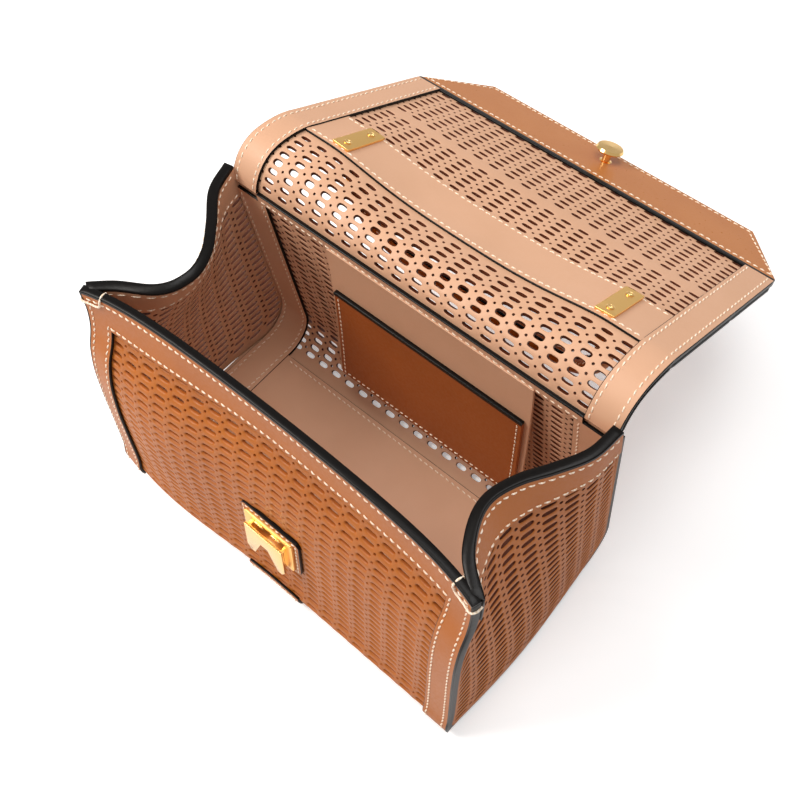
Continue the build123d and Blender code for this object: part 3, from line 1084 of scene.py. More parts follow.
@dataclass
class FrontPanel:
    """Front of the bag: punched sheet, plain border, patch and corner threads."""

    finishes: Finishes
    top_y: float = -46.0
    bow: float = 10.5
    foot: float = 8.0
    belly: float = 8.0
    row_pitch: float = 6.05
    first_column: float = -114.8

    LEVELS = (1.0, 0.91, 0.82, 0.74, 0.65, 0.5, 0.3, 0.13)
    LEANS = (0.0, 0.04, 0.17, 0.38, 0.53, 0.67, 0.80, 0.92)

    def __post_init__(self) -> None:
        """Work out the side profile: lean and height against length down the sheet."""
        foot_y = BASE_FRONT_Y + 1.0
        reference = foot_y - (self.top_y + 3.0)
        line = [(reference * e, HEIGHT * k) for k, e in zip(self.LEVELS, self.LEANS)]
        line.append((reference, self.foot + 1.0))
        line.append((reference + 0.3 * self.foot, 0.3 * self.foot))
        line.append((reference + self.foot + 1.0, 0.0))
        self.side = Profile(line)
        self.reference = reference
        heights = self.side.z
        self.window_top = float(np.interp(-(HEIGHT - BORDER_TOP), -heights, self.side.s))
        self.foot_start = float(np.interp(-(self.foot + 1.0), -heights, self.side.s))

    def surface(self, x: Array, s: Array) -> Array:
        """Outer face of the front.

        Args:
            x: place across.
            s: length down the sheet from its top edge.

        Returns:
            The points.
        """
        u = np.clip(x / HALF_WIDTH, -1.05, 1.05)
        top = self.top_y + self.bow * (1 - 0.45 * u**2 - 0.55 * u**6)
        y, z = self.side.at(s)
        turned = np.maximum(0.0, s - self.foot_start)
        lean = np.minimum(y / self.reference, 1.0)
        lean = np.where(turned > 0, 1.0, lean)
        tucked = np.where(turned > 0, y - self.reference, 0.0)
        foot_y = BASE_FRONT_Y + 1.0
        share = np.clip(-x / HALF_WIDTH, 0.0, 1.0)
        level = np.clip(z / HEIGHT, 0.0, 1.0)
        swell = self.belly * np.sin(math.pi * share**1.5)
        swell = swell * np.sin(0.85 * math.pi * (1 - level) ** 0.8)
        return np.stack([x, top + (foot_y - top) * lean - swell + tucked, z], -1)

    def face(self, x: Array, s: Array) -> Array:
        """Outer face mirrored in X, so that its normal points out.

        Args:
            x: place across, on the mirrored face.
            s: length down the sheet from its top edge.

        Returns:
            The points, still mirrored.
        """
        return mirrored(self.surface(x, s))

    def build(self) -> None:
        """Make the front's pieces."""
        finishes = self.finishes
        rows = int((self.side.length - self.window_top - 3.0) // self.row_pitch)
        pattern = PunchPattern(
            PITCH, self.row_pitch, half_length=3.8, half_width=1.05, bevel=1.1, bevel_depth=1.3
        )
        sheet = PunchedSheet(
            self.face, pattern, self.first_column, self.window_top + 2.5, 20, rows,
            (-HALF_WIDTH, HALF_WIDTH), (0.0, self.side.length), low=-SHEET, high=0.0
        )
        parts = MeshParts()
        sheet.build(parts, 0, 1, 2, 3)
        parts = unmirrored(parts)
        made = parts.build(
            "front_punched", [finishes.brown, finishes.beige, finishes.wall, finishes.edge]
        )
        place_piece(made, "root", Slot.PERFORATED, "front_panel")
        self._border()
        self._tab()
        self._threads()

    def _border(self) -> None:
        """Plain leather frame over the sheet's top and sides."""
        finishes = self.finishes
        parts = MeshParts()
        inner = HALF_WIDTH - BORDER_SIDE
        window = self.window_top
        foot = self.foot_start + 4.0
        for u0, u1, v0, v1, edges in (
            (-inner, inner, 0.0, window, (2, OPEN_RIM, 2, OPEN_RIM)),
            (-HALF_WIDTH, -inner, 0.0, window, (2, OPEN_RIM, OPEN_RIM, 2)),
            (inner, HALF_WIDTH, 0.0, window, (2, 2, OPEN_RIM, OPEN_RIM)),
            (-HALF_WIDTH, -inner, window, foot, (OPEN_RIM, 2, 2, 2)),
            (inner, HALF_WIDTH, window, foot, (OPEN_RIM, 2, 2, 2)),
        ):
            grid_u, grid_v = region(u0, u1, v0, v1, 3.0)
            add_plate_open(parts, self.face, grid_u, grid_v, 0.0, BAND, 0, 1, edges)
        parts = unmirrored(parts)
        made = parts.build("front_border_leather", [finishes.brown, finishes.beige, finishes.edge])
        place_piece(made, "root", Slot.BROWN, "front_border")
        self._stitches(inner, window, foot)
        parts = MeshParts()
        grid_u, grid_v = region(-HALF_WIDTH - 0.3, HALF_WIDTH + 0.3, -0.9, 0.7, 2.0)
        add_plate(parts, self.face, grid_u, grid_v, -SHEET - 0.2, BAND + 0.15, 0, 0, 0, 0.7)
        for side in (-1.0, 1.0):
            u0, u1 = sorted((side * (HALF_WIDTH - 0.5), side * (HALF_WIDTH + 0.4)))
            grid_u, grid_v = region(u0, u1, 0.5, foot, 2.0)
            add_plate(parts, self.face, grid_u, grid_v, -SHEET, BAND + 0.1, 0, 0, 0, 0.4)
        made = unmirrored(parts).build("front_painted_edge", [finishes.edge])
        place_piece(made, "root", Slot.EDGE)

    def _stitches(self, inner: float, window: float, foot: float) -> None:
        """Two rows of saddle stitches round the border.

        Args:
            inner: half the width between the border's sides.
            window: length down to the border's inner edge.
            foot: length down to the border's lower ends.
        """
        end = foot - 3
        paths = [
            [(-side, end), (-side, top), (side, top), (side, end)]
            for side, top in ((HALF_WIDTH - 3.4, 3.6), (inner + 2.2, window - 2.2))
        ]
        line = StitchLine(self.face)
        line.sew("front_border_stitches", self.finishes.thread, paths, BAND, turn_back=True)

    def _tab(self) -> None:
        """Plain patch over the bottom edge, below the lock."""
        parts = MeshParts()
        top = self.foot_start - 4.0
        grid_u, grid_v = region(-20.0, 20.0, top, self.side.length - 1.0, 2.0)
        add_plate(parts, self.face, grid_u, grid_v, 0.0, BAND - 0.4, 0, 0, 1)
        parts = unmirrored(parts)
        made = parts.build("front_tab_leather", [self.finishes.brown, self.finishes.edge])
        place_piece(made, "root", Slot.BROWN, "front_tab")
        low, high, side = self.side.length - 3.0, top + 2.2, 17.8
        paths = [[(-side, low), (-side, high), (side, high), (side, low)]]
        line, thread = StitchLine(self.face), self.finishes.thread
        line.sew("front_tab_stitches", thread, paths, BAND - 0.4, turn_back=True)

    def over(self, x: float, s: float, height: float) -> Array:
        """Point at a height over the front's outer face.

        Args:
            x: place across, on the mirrored face.
            s: length down the sheet.
            height: distance out from the face.

        Returns:
            The point, mirrored back into place.
        """
        return mirrored(raised(self.face, np.array([x]), np.array([s]), height)[0])

    def _threads(self) -> None:
        """Thick thread whipped over each top corner."""
        high = BAND + 0.7
        for name, side in (("left", -1.0), ("right", 1.0)):
            edge = side * HALF_WIDTH
            path = [
                self.over(edge - side * 13.0, -0.4, -SHEET - 0.5),
                self.over(edge - side * 13.0, -1.5, 0.0),
                self.over(edge - side * 13.0, 0.8, high),
                self.over(edge - side * 12.0, 5.0, high),
                self.over(edge - side * 5.0, 6.4, high),
                self.over(edge + side * 0.7, 5.6, high - 0.4),
                self.over(edge + side * 1.3, 5.2, 0.0),
                self.over(edge + side * 0.6, 5.0, -SHEET - 0.6),
            ]
            made = tube("corner_whipping_" + name, path, 0.62, self.finishes.thread)
            place_piece(made, "root", Slot.THREAD, "corner_thread_" + name)


def mirrored(points: Array) -> Array:
    """Mirror points in X, so that a face built from its left gets an outward normal.

    Args:
        points: rows of X, Y, Z.

    Returns:
        The mirrored points.
    """
    return points * np.array([-1.0, 1.0, 1.0])


def unmirrored(parts: MeshParts) -> MeshParts:
    """Undo mirrored() on gathered parts, and turn their faces back.

    Args:
        parts: parts made on a mirrored face.

    Returns:
        The same parts.
    """
    parts.vertices = [mirrored(v) for v in parts.vertices]
    parts.faces = [f[:, ::-1] for f in parts.faces]
    return parts


def add_plate_open(
    parts: MeshParts,
    surface: Surface,
    grid_u: Array,
    grid_v: Array,
    low: float,
    high: float,
    top: int,
    bottom: int,
    edges: Sequence[int],
) -> None:
    """Add a sheet whose rim is left open where it meets its neighbour.

    Args:
        parts: what gets the sheet.
        surface: the surface that it follows.
        grid_u: grid of first parameters.
        grid_v: grid of second parameters.
        low: height of its lower face.
        high: height of its upper face.
        top: slot of the upper face.
        bottom: slot of the lower face.
        edges: slot of each rim, as add_plate takes them, or OPEN_RIM.
    """
    piece = MeshParts()
    add_plate(piece, surface, grid_u, grid_v, low, high, top, bottom, list(edges))
    shift = 0
    for points, quads, slots in zip(piece.vertices, piece.faces, piece.materials):
        if slots[0] != OPEN_RIM:
            parts.add(points, quads - shift, slots)
        shift += len(points)


def tube(
    name: str,
    path: Sequence[Array],
    radius: float,
    material: bpy.types.Material,
) -> bpy.types.Object:
    """Round cord of thread or leather along a smooth path.

    Args:
        name: the piece's name.
        path: points in mm.
        radius: in mm.
        material: its material.

    Returns:
        The new object.
    """
    sides = 10
    pts = np.asarray(path, float)
    rough = np.concatenate([[0.0], np.cumsum(np.linalg.norm(np.diff(pts, axis=0), axis=1))])
    fine = np.linspace(0, rough[-1], max(12, int(rough[-1] / max(radius, 0.6) * 1.2)))
    line = np.stack([catmull(rough, pts[:, k], fine) for k in range(3)], -1)
    along = np.gradient(line, axis=0)
    along /= np.linalg.norm(along, axis=1, keepdims=True)
    across = np.cross(along[0], np.array([0.3, 0.2, 0.9]))
    rings = []
    turn = np.arange(sides) * math.tau / sides
    for point, direction in zip(line, along):
        across = across - direction * across.dot(direction)
        across /= np.linalg.norm(across)
        other = np.cross(direction, across)
        ring = np.outer(np.cos(turn), across) + np.outer(np.sin(turn), other)
        rings.append(point + ring * radius)
    rings.insert(0, np.repeat(line[:1], sides, 0))
    rings.append(np.repeat(line[-1:], sides, 0))
    stack = np.stack(rings)
    index = np.arange(stack.shape[0] * sides).reshape(-1, sides)
    after = np.roll(index, -1, axis=1)
    quads = np.stack([index[:-1], after[:-1], after[1:], index[1:]], -1).reshape(-1, 4)
    parts = MeshParts()
    parts.add(stack, quads, 0)
    return parts.build(name, [material], sharp_deg=60.0)


@dataclass
class BackAndBase:
    """Back panel that turns under into the base, and the pale strips inside it."""

    finishes: Finishes
    row_pitch: float = 6.0
    seam_drop: float = 8.6

    def __post_init__(self) -> None:
        """Work out the outer side profile, from the seam down and under."""
        lean = (BASE_BACK_Y - BACK_TOP_Y) / (HEIGHT - CORNER_RADIUS)
        top_z = HEIGHT - self.seam_drop
        points = [(BASE_BACK_Y - lean * (top_z - CORNER_RADIUS), top_z)]
        points.append((BASE_BACK_Y - lean * 60, CORNER_RADIUS + 60))
        points.append((BASE_BACK_Y - lean * 8, CORNER_RADIUS + 8))
        for degrees in range(0, 91, 9):
            a = math.radians(degrees)
            points.append((
                BASE_BACK_Y - CORNER_RADIUS * (1 - math.cos(a)),
                CORNER_RADIUS * (1 - math.sin(a)),
            ))
        points.append((BASE_BACK_Y - CORNER_RADIUS - 12, 0.0))
        points.append((0.0, 0.0))
        points.append((BASE_FRONT_Y + 12.0, 0.0))
        self.side = Profile(points, 1500)
        self.curve_end = float(self.side.s[np.argmin(np.abs(self.side.y - 49.0) + self.side.z)])

    def surface(self, x: Array, s: Array) -> Array:
        """Outer face of back and base: x across, s down from the seam.

        Args:
            x: place across.
            s: length down from the seam.

        Returns:
            The points.
        """
        y, z = self.side.at(s)
        return np.stack([x, y, z], -1)

    def build(self) -> None:
        """Make the back, base, bindings, insert and hinge strip."""
        finishes = self.finishes
        rows = int((self.curve_end + 4 - 10) // self.row_pitch)
        sheet = PunchedSheet(
            self.surface, PunchPattern(PITCH, self.row_pitch), -PITCH * 10, 9.0, 21, rows,
            (-HALF_WIDTH, HALF_WIDTH), (0.0, self.side.length), low=-SHEET, high=0.0
        )
        parts = MeshParts()
        sheet.build(parts, 0, 1, 2, 3)
        made = parts.build(
            "back_punched", [finishes.brown, finishes.beige, finishes.core, finishes.edge]
        )
        place_piece(made, "root", Slot.PERFORATED, "back_panel")
        self._bindings()
        self._insert()
        self._hinge_strip()

    def _bindings(self) -> None:
        """Pale strips over the gusset seams, from the hinge strip down and along the base."""
        width = 23.0
        inner = HALF_WIDTH - SHEET - 24.0
        end = self.side.length - 1.5
        for name, side in (("left", -1.0), ("right", 1.0)):
            parts = MeshParts()
            u0, u1 = sorted((side * inner, side * (inner + width)))
            grid_u, grid_v = region(u0, u1, 6.0, end, 3.0)
            add_plate(parts, self.surface, grid_u, grid_v, -SHEET - BAND, -SHEET, 0, 0, 1)
            made = parts.build("binding_" + name, [self.finishes.beige, self.finishes.edge])
            place_piece(made, "root", Slot.BEIGE, "gusset_binding_" + name)
            places = (side * (inner + 3.0), side * (inner + width - 3.0))
            paths = [[(x, 8.0), (x, end - 2.0)] for x in places]
            self._inside_stitches("binding_stitches_" + name, paths, 0.4)

    def _insert(self) -> None:
        """Pale board in the bottom, between the bindings."""
        parts = MeshParts()
        half = HALF_WIDTH - SHEET - 24.6
        start, end = self.curve_end + 2.0, self.side.length - 1.5
        grid_u, grid_v = region(-half, half, start, end, 4.0)
        add_plate(parts, self.surface, grid_u, grid_v, -SHEET - BAND, -SHEET, 0, 0, 1)
        made = parts.build("base_board", [self.finishes.beige, self.finishes.edge])
        place_piece(made, "root", Slot.BEIGE, "base_insert")
        path = [(-half + 3, start + 3.0), (half - 3, start + 3.0)]
        self._inside_stitches("base_board_stitches", [path], 0.4)

    def _hinge_strip(self) -> None:
        """Pale strip inside the back, under the flap's seam."""
        parts = MeshParts()
        half = HALF_WIDTH - SHEET - 19.0
        grid_u, grid_v = region(-half, half, 0.0, 6.6, 3.0)
        add_plate(parts, self.surface, grid_u, grid_v, -SHEET - BAND, -SHEET, 0, 0, 1)
        made = parts.build("hinge_strip_leather", [self.finishes.beige, self.finishes.edge])
        place_piece(made, "root", Slot.BEIGE, "hinge_strip")
        self._inside_stitches("hinge_strip_stitches", [[(-half + 2, 4.4), (half - 2, 4.4)]], 0.38)

    def _inside_stitches(
        self, name: str, paths: Sequence[Sequence[tuple[float, float]]], radius: float
    ) -> None:
        """Stitches on the strips inside.

        Args:
            name: the piece's name.
            paths: corners of each line, in mm.
            radius: of the thread, in mm.
        """
        line = StitchLine(self.surface, radius=radius, facing=-1.0)
        line.sew(name, self.finishes.thread, paths, -SHEET - BAND)


@dataclass
class Gusset:
    """End panel, bowed in at the top, with its plain band."""

    finishes: Finishes
    front: FrontPanel
    name: str
    side: float
    bow: float
    shape: Sequence[float]
    base_swell: float = 3.5
    row_pitch: float = 6.0

    STATIONS = (0.0, 0.1, 0.2, 0.36, 0.52, 0.66, 0.82, 1.0)
    LEVELS = (HEIGHT + 4, HEIGHT, 150.0, 140.0, 120.0, 95.0, 50.0, 0.0)

    def front_y(self, z: Array) -> Array:
        """Y of the front panel's inner face at this side, at each height.

        Args:
            z: heights.

        Returns:
            Y at each.
        """
        s = np.linspace(0, self.front.foot_start + 6, 300)
        points = self.front.surface(np.full_like(s, self.side * (HALF_WIDTH - 2.0)), s)
        order = np.argsort(points[:, 2])
        return np.interp(z, points[order, 2], points[order, 1]) + SHEET

    def back_y(self, z: Array) -> Array:
        """Y of the back panel's inner face at each height.

        Args:
            z: heights.

        Returns:
            Y at each.
        """
        lean = (BASE_BACK_Y - BACK_TOP_Y) / (HEIGHT - CORNER_RADIUS)
        straight = BASE_BACK_Y - SHEET - lean * (np.maximum(z, CORNER_RADIUS) - CORNER_RADIUS)
        low = np.clip(CORNER_RADIUS - z, 0.0, CORNER_RADIUS - SHEET)
        radius = CORNER_RADIUS - SHEET
        inset = radius - np.sqrt(np.maximum(radius**2 - low**2, 0.0))
        return straight - inset

    def line_x(self, t: Array, z: Array) -> Array:
        """X of the outer face, from the front (t 0) to the back (t 1).

        Args:
            t: share of the way from front to back.
            z: heights.

        Returns:
            X at each.
        """
        share = np.clip(z / HEIGHT, 0.0, 1.02) ** 2.2
        bowed = catmull(np.asarray(self.STATIONS), np.asarray(self.shape, float), np.clip(t, 0, 1))
        swell = self.base_swell * np.sin(math.pi * np.clip(t, 0, 1)) * (1 - share)
        return self.side * (HALF_WIDTH - self.bow * share * bowed + swell)

    def surface(self, t_mm: Array, z: Array) -> Array:
        """Outer face, from the front to the back.

        Args:
            t_mm: place from the front, up to GUSSET_SPAN at the back.
            z: heights.

        Returns:
            The points.
        """
        t = t_mm / GUSSET_SPAN
        front, back = self.front_y(z), self.back_y(z)
        y = front + (back - front) * t
        return np.stack([self.line_x(t, z), y, z], -1)

    def outward(self, a: Array, b: Array) -> Array:
        """The face with a normal that points out, whichever side it is on.

        Args:
            a: place from the front.
            b: heights.

        Returns:
            The points, mirrored on the left gusset.
        """
        points = self.surface(a, b)
        return points if self.side > 0 else mirrored(points)

    def finish_parts(self, parts: MeshParts) -> MeshParts:
        """Mirror the left gusset's parts back into place.

        Args:
            parts: parts made on the outward face.

        Returns:
            The same parts.
        """
        return parts if self.side > 0 else unmirrored(parts)

    def build(self) -> None:
        """Make the gusset's punched sheet, band and stitches."""
        finishes = self.finishes
        window_top = HEIGHT - BORDER_TOP
        rows = 22
        sheet = PunchedSheet(
            self.outward,
            PunchPattern(GUSSET_SPAN / GUSSET_COLUMNS, self.row_pitch, 3.9, 1.5, 0.85, 0.6, 0.8),
            GUSSET_SPAN / GUSSET_COLUMNS / 2, window_top - 4.0 - self.row_pitch * (rows - 1),
            GUSSET_COLUMNS, rows, (0.0, GUSSET_SPAN), (SHEET, HEIGHT), low=-SHEET, high=0.0
        )
        parts = MeshParts()
        sheet.build(parts, 0, 1, 2, 3)
        made = self.finish_parts(parts).build(
            "gusset_punched_" + self.name,
            [finishes.brown, finishes.beige, finishes.core, finishes.edge],
        )
        place_piece(made, "root", Slot.PERFORATED, "gusset_" + self.name)
        parts = MeshParts()
        grid_u, grid_v = region(0.0, GUSSET_SPAN, window_top, HEIGHT, 2.5)
        add_plate(parts, self.outward, grid_u, grid_v, 0.0, BAND, 0, 0, 1)
        add_plate(parts, self.outward, grid_u, grid_v, -SHEET - 1.2, -SHEET, 2, 2, 2, 0.3)
        grid_u, grid_v = region(0.0, GUSSET_SPAN, HEIGHT - 0.7, HEIGHT + 0.9, 1.6)
        add_plate(parts, self.outward, grid_u, grid_v, -SHEET - 1.3, BAND + 0.15, 1, 1, 1, 0.7)
        made = self.finish_parts(parts).build(
            "gusset_band_leather_" + self.name, [finishes.brown, finishes.edge, finishes.beige]
        )
        place_piece(made, "root", Slot.BROWN, "gusset_band_" + self.name)
        parts = MeshParts()
        line = StitchLine(self.outward, slant=-0.16)
        inside = StitchLine(self.outward, radius=0.42, facing=-1.0)
        for z in (HEIGHT - 3.6, window_top + 2.2):
            line.add(parts, [(2.0, z), (108.0, z)], BAND)
            inside.add(parts, [(6.0, z), (106.0, z)], -SHEET - 1.2)
        made = self.finish_parts(parts).build("gusset_stitches_" + self.name, [finishes.thread])
        place_piece(made, "root", Slot.THREAD)


def screw_heads(
    name: str,
    spots: Sequence[tuple[Array, Array, Array]],
    radius: float,
    material: bpy.types.Material,
) -> bpy.types.Object:
    """Low screw heads, each with a ring groove and a driver slot.

    Args:
        name: the piece's name.
        spots: place, outward direction and slot direction of each, in mm.
        radius: of the head, in mm.
        material: its material.

    Returns:
        The new object.
    """
    parts = MeshParts()
    turn = np.arange(28) * math.tau / 28
    rise = (
        (1.0, 0.0), (1.0, 0.34), (0.9, 0.5), (0.78, 0.5), (0.7, 0.28), (0.62, 0.5), (0.0, 0.58),
    )
    for centre, out, along in spots:
        out = out / np.linalg.norm(out)
        along = along - out * along.dot(out)
        along = along / np.linalg.norm(along)
        side = np.cross(out, along)
        rings = []
        for reach, height in rise:
            a, b = np.cos(turn) * reach * radius, np.sin(turn) * reach * radius
            dip = np.where((np.abs(b) < 0.36) & (reach < 0.65) & (reach > 0.0), 0.3, 0.0)
            dip = dip + (0.3 if reach == 0.0 else 0.0)
            rings.append(
                centre + np.outer(a, along) + np.outer(b, side) + np.outer(height - dip, out)
            )
        stack = np.stack(rings)
        index = np.arange(stack.shape[0] * 28).reshape(-1, 28)
        after = np.roll(index, -1, axis=1)
        quads = np.stack([index[:-1], after[:-1], after[1:], index[1:]], -1).reshape(-1, 4)
        parts.add(stack, quads, 0)
    return parts.build(name, [material], sharp_deg=35.0)


@dataclass
class Flap:
    """The flap, from its seam over the back to its tapered end."""

    finishes: Finishes
    half_width: float = 132.3
    band_width: float = 18.4
    row_pitch: float = 5.8
    first_column: float = 1.4 - PITCH * 10
    columns: int = 21
    slope_deg: float = 28.0
    end_slope_deg: float = 26.7
    strip_start: tuple[float, float] = (107.4, 166.4)
    strip_width: float = 35.4
    field_length: float = 94.5
    fold_after_strip: float = 37.0
    end_length: float = 40.5
    end_half_width: float = 99.5
    plate_x: float = 90.0

    SAG_AT = (6.0, 25.0, 40.0, 53.0, 88.0, 125.0, 180.0)
    SAG = (0.0, 4.2, 9.0, 11.0, 8.0, 3.0, 0.0)
    HUMP = (
        (64.3, 152.8), (65.2, 156.2), (67.6, 160.8), (71.6, 165.7), (77.2, 169.4),
        (83.6, 171.0), (91.0, 170.7), (99.0, 169.2),
    )

    def __post_init__(self) -> None:
        """Work out the inner face's profile and the places along it."""
        slope = math.radians(self.slope_deg)
        y0, z0 = self.strip_start
        run = self.strip_width + self.field_length
        points = list(self.HUMP) + [self.strip_start]
        for d in (10.0, 40.0, 80.0, run - 8.0, run):
            points.append((y0 + d * math.cos(slope), z0 - d * math.sin(slope)))
        self.side = Profile(points, 2400)
        self.strip_s = float(self.side.s[np.argmin(np.hypot(self.side.y - y0, self.side.z - z0))])
        self.strip_end_s = self.strip_s + self.strip_width
        self.fold_s = self.strip_end_s + self.fold_after_strip
        self.field_end_s = self.strip_end_s + self.field_length
        crest = np.argmin(np.abs(self.side.y - 77.7) + (self.side.z < 160) * 99)
        self.open_s = float(self.side.s[crest])

    def surface(self, x: Array, s: Array) -> Array:
        """Inner face, which looks up: x across, s from the seam to the end.

        The middle sags a little below the straight side bands, most at the handle's strip.

        Args:
            x: place across.
            s: length from the seam.

        Returns:
            The points.
        """
        y, z = self.side.at(s)
        across = np.maximum(0.0, 1 - np.abs(x / 96.0) ** 3) ** 2
        along = smooth_table(self.SAG_AT, self.SAG, s)
        return np.stack([x, y, z - across * along], -1)

    def place(self, s: float, height: float = 0.0) -> tuple[float, float]:
        """Y and Z at a length along the flap and a height over its inner face.

        Args:
            s: length from the seam.
            height: distance over the inner face.

        Returns:
            Y and Z in mm.
        """
        point = raised(self.surface, np.array([0.0]), np.array([s]), height)[0]
        return float(point[1]), float(point[2])

    def punched(self, start: float, end: float, name: str, open_by: float) -> bpy.types.Object:
        """Make a stretch of the punched sheet.

        Args:
            start: where the stretch starts, from the seam.
            end: where it ends.
            name: the piece's name.
            open_by: how much the bend opens the slots at its crest.

        Returns:
            The new object.
        """
        finishes = self.finishes
        first = self.open_s - 3 * self.row_pitch
        k0 = math.ceil((start + self.row_pitch / 2 - first) / self.row_pitch - 1e-6)
        k1 = math.floor((end - self.row_pitch / 2 - first) / self.row_pitch + 1e-6)
        pattern = PunchPattern(
            PITCH, self.row_pitch, half_length=3.4, half_width=1.3, dot_radius=0.62, bevel=0.3,
            bevel_depth=0.4, open_at=self.open_s + 0.6, open_spread=6.2, open_by=open_by
        )
        sheet = PunchedSheet(
            self.surface, pattern, self.first_column, first + k0 * self.row_pitch, self.columns,
            k1 - k0 + 1, (-self.half_width, self.half_width), (start, end), low=-SHEET, high=0.0
        )
        parts = MeshParts()
        sheet.build(parts, 0, 1, 2, 3)
        return parts.build(name, [finishes.beige, finishes.brown, finishes.core, finishes.edge])

    def build(self) -> None:
        """Make every stretch of the flap and what is sewn to it."""
        self._bend()
        self._panel()
        self._front()
        self._end_piece()

    def _bands(
        self, name: str, start: float, end: float, edges: tuple[int, int]
    ) -> list[bpy.types.Object]:
        """Side bands over a stretch: pale inside, brown outside, and their stitches.

        Args:
            name: stretch name.
            start: where it starts, from the seam.
            end: where it ends.
            edges: rim slots at the start and end, or OPEN_RIM.

        Returns:
            The left band, the right band and the stitches.
        """
        finishes, made = self.finishes, []
        half, inner = self.half_width, self.half_width - self.band_width
        for label, side in (("left", -1.0), ("right", 1.0)):
            parts = MeshParts()
            u0, u1 = sorted((side * inner, side * half))
            grid_u, grid_v = region(u0, u1, start, end, 2.6)
            rims = (edges[0], 2, edges[1], 2)
            add_plate_open(parts, self.surface, grid_u, grid_v, 0.0, BAND, 0, 0, rims)
            add_plate_open(
                parts, self.surface, grid_u, grid_v, -SHEET - BAND, -SHEET, 1, 1, rims
            )
            mats = [finishes.beige, finishes.brown, finishes.edge]
            made.append(parts.build(f"{name}_band_{label}", mats))
        parts = MeshParts()
        line = StitchLine(self.surface, radius=0.42)
        under = StitchLine(self.surface, facing=-1.0)
        for x in (half - 3.2, inner + 2.2):
            for side in (-1.0, 1.0):
                path = [(side * x, start + 0.5), (side * x, end - 0.5)]
                line.add(parts, path, BAND)
                under.add(parts, path, -SHEET - BAND)
        made.append(parts.build(name + "_band_stitches", [finishes.thread]))
        return made

    def _bend(self) -> None:
        """Stretch that rolls over the seam."""
        joint = (("root", "flap_back"), (64.0, 156.0), (70.0, 167.0))
        sheet = self.punched(0.0, self.strip_s, "flap_roll_punched", 0.62)
        bend_piece(sheet, *joint, Slot.BEIGE, "flap_bend")
        left, right, thread = self._bands("flap_roll", 0.0, self.strip_s, (2, OPEN_RIM))
        bend_piece(left, *joint, Slot.BEIGE, "bend_band_left")
        bend_piece(right, *joint, Slot.BEIGE, "bend_band_right")
        bend_piece(thread, *joint, Slot.THREAD)

    def _panel(self) -> None:
        """Flat stretch up to the front fold, with the handle's strip."""
        start, end = self.strip_s, self.fold_s
        joint = (("flap_back", "flap"), self.place(start - 1.0), self.place(start + 12.0))
        sheet = self.punched(start, end, "flap_punched", 0.0)
        bend_piece(sheet, *joint, Slot.BEIGE, "flap_panel")
        left, right, thread = self._bands("flap", start, end, (OPEN_RIM, OPEN_RIM))
        bend_piece(left, *joint, Slot.BEIGE, "flap_band_left")
        bend_piece(right, *joint, Slot.BEIGE, "flap_band_right")
        bend_piece(thread, *joint, Slot.THREAD)
        inner = self.half_width - self.band_width
        parts = MeshParts()
        grid_u, grid_v = region(-inner - 1.5, inner + 1.5, start - 1.5, self.strip_end_s, 3.0)
        add_plate(parts, self.surface, grid_u, grid_v, 0.0, 1.3, 0, 0, (1, 0, 0, 0), 0.5)
        strip = parts.build("handle_strip_leather", [self.finishes.beige, self.finishes.edge])
        bend_piece(strip, *joint, Slot.BEIGE, "handle_strip")
        parts = MeshParts()
        line = StitchLine(self.surface, radius=0.4)
        for s in (start + 1.2, self.strip_end_s - 2.2):
            line.add(parts, [(-inner + 2, s), (inner - 2, s)], 1.3)
        thread = parts.build("handle_strip_stitches", [self.finishes.thread])
        bend_piece(thread, *joint, Slot.THREAD)
        self._counter_plates()

    def _counter_plates(self) -> None:
        """Gold plates inside that hold the handle's brackets, two screws in each."""
        middle = self.strip_s + 17.7
        for name, x in (("left", -self.plate_x), ("right", self.plate_x)):
            parts = MeshParts()
            grid_u, grid_v = region(x - 5.5, x + 5.5, middle - 16.5, middle + 16.5, 1.5)
            add_plate(parts, self.surface, grid_u, grid_v, 1.2, 2.9, 0, 0, 0, 0.25)
            made = parts.build("plate_" + name, [self.finishes.satin])
            place_piece(made, "flap", Slot.SATIN, "counter_plate_" + name)
        spots = []
        for x in (-self.plate_x, self.plate_x):
            for shift in (-10.5, 10.5):
                centre = raised(self.surface, np.array([x]), np.array([middle + shift]), 2.9)[0]
                above = raised(self.surface, np.array([x]), np.array([middle + shift]), 3.9)[0]
                spots.append((centre, above - centre, np.array([1.0, 0.0, 0.0])))
        made = screw_heads("plate_screw_heads", spots, 2.3, self.finishes.bright)
        place_piece(made, "flap", Slot.POLISHED, "plate_screws")

    def _front(self) -> None:
        """Stretch past the fold, up to the dark piping."""
        start, end = self.fold_s, self.field_end_s
        joint = (("flap", "flap_front"), self.place(start - 0.5), self.place(start + 14.0))
        sheet = self.punched(start, end, "flap_front_punched", 0.0)
        bend_piece(sheet, *joint, Slot.BEIGE, "flap_front_panel")
        left, right, thread = self._bands(
            "flap_front", start, end - 3.0, (OPEN_RIM, 2)
        )
        bend_piece(left, *joint, Slot.BEIGE, "flap_front_band_left")
        bend_piece(right, *joint, Slot.BEIGE, "flap_front_band_right")
        bend_piece(thread, *joint, Slot.THREAD)
        parts = MeshParts()
        grid_u, grid_v = region(-self.half_width, self.half_width, end - 3.0, end - 0.6, 3.0)
        add_plate(parts, self.surface, grid_u, grid_v, 0.0, BAND - 0.2, 0, 0, 0, 0.6)
        made = parts.build("flap_piping_edge", [self.finishes.edge])
        place_piece(made, "flap_front", Slot.EDGE, "flap_piping")

    def end_surface(self, x: Array, d: Array) -> Array:
        """Inner face of the tapered end: x across, d from the piping.

        Args:
            x: place across.
            d: length from the piping.

        Returns:
            The points.
        """
        y0, z0 = self.place(self.field_end_s)
        slope = math.radians(self.end_slope_deg)
        return np.stack([x, y0 + d * math.cos(slope), z0 - d * math.sin(slope)], -1)

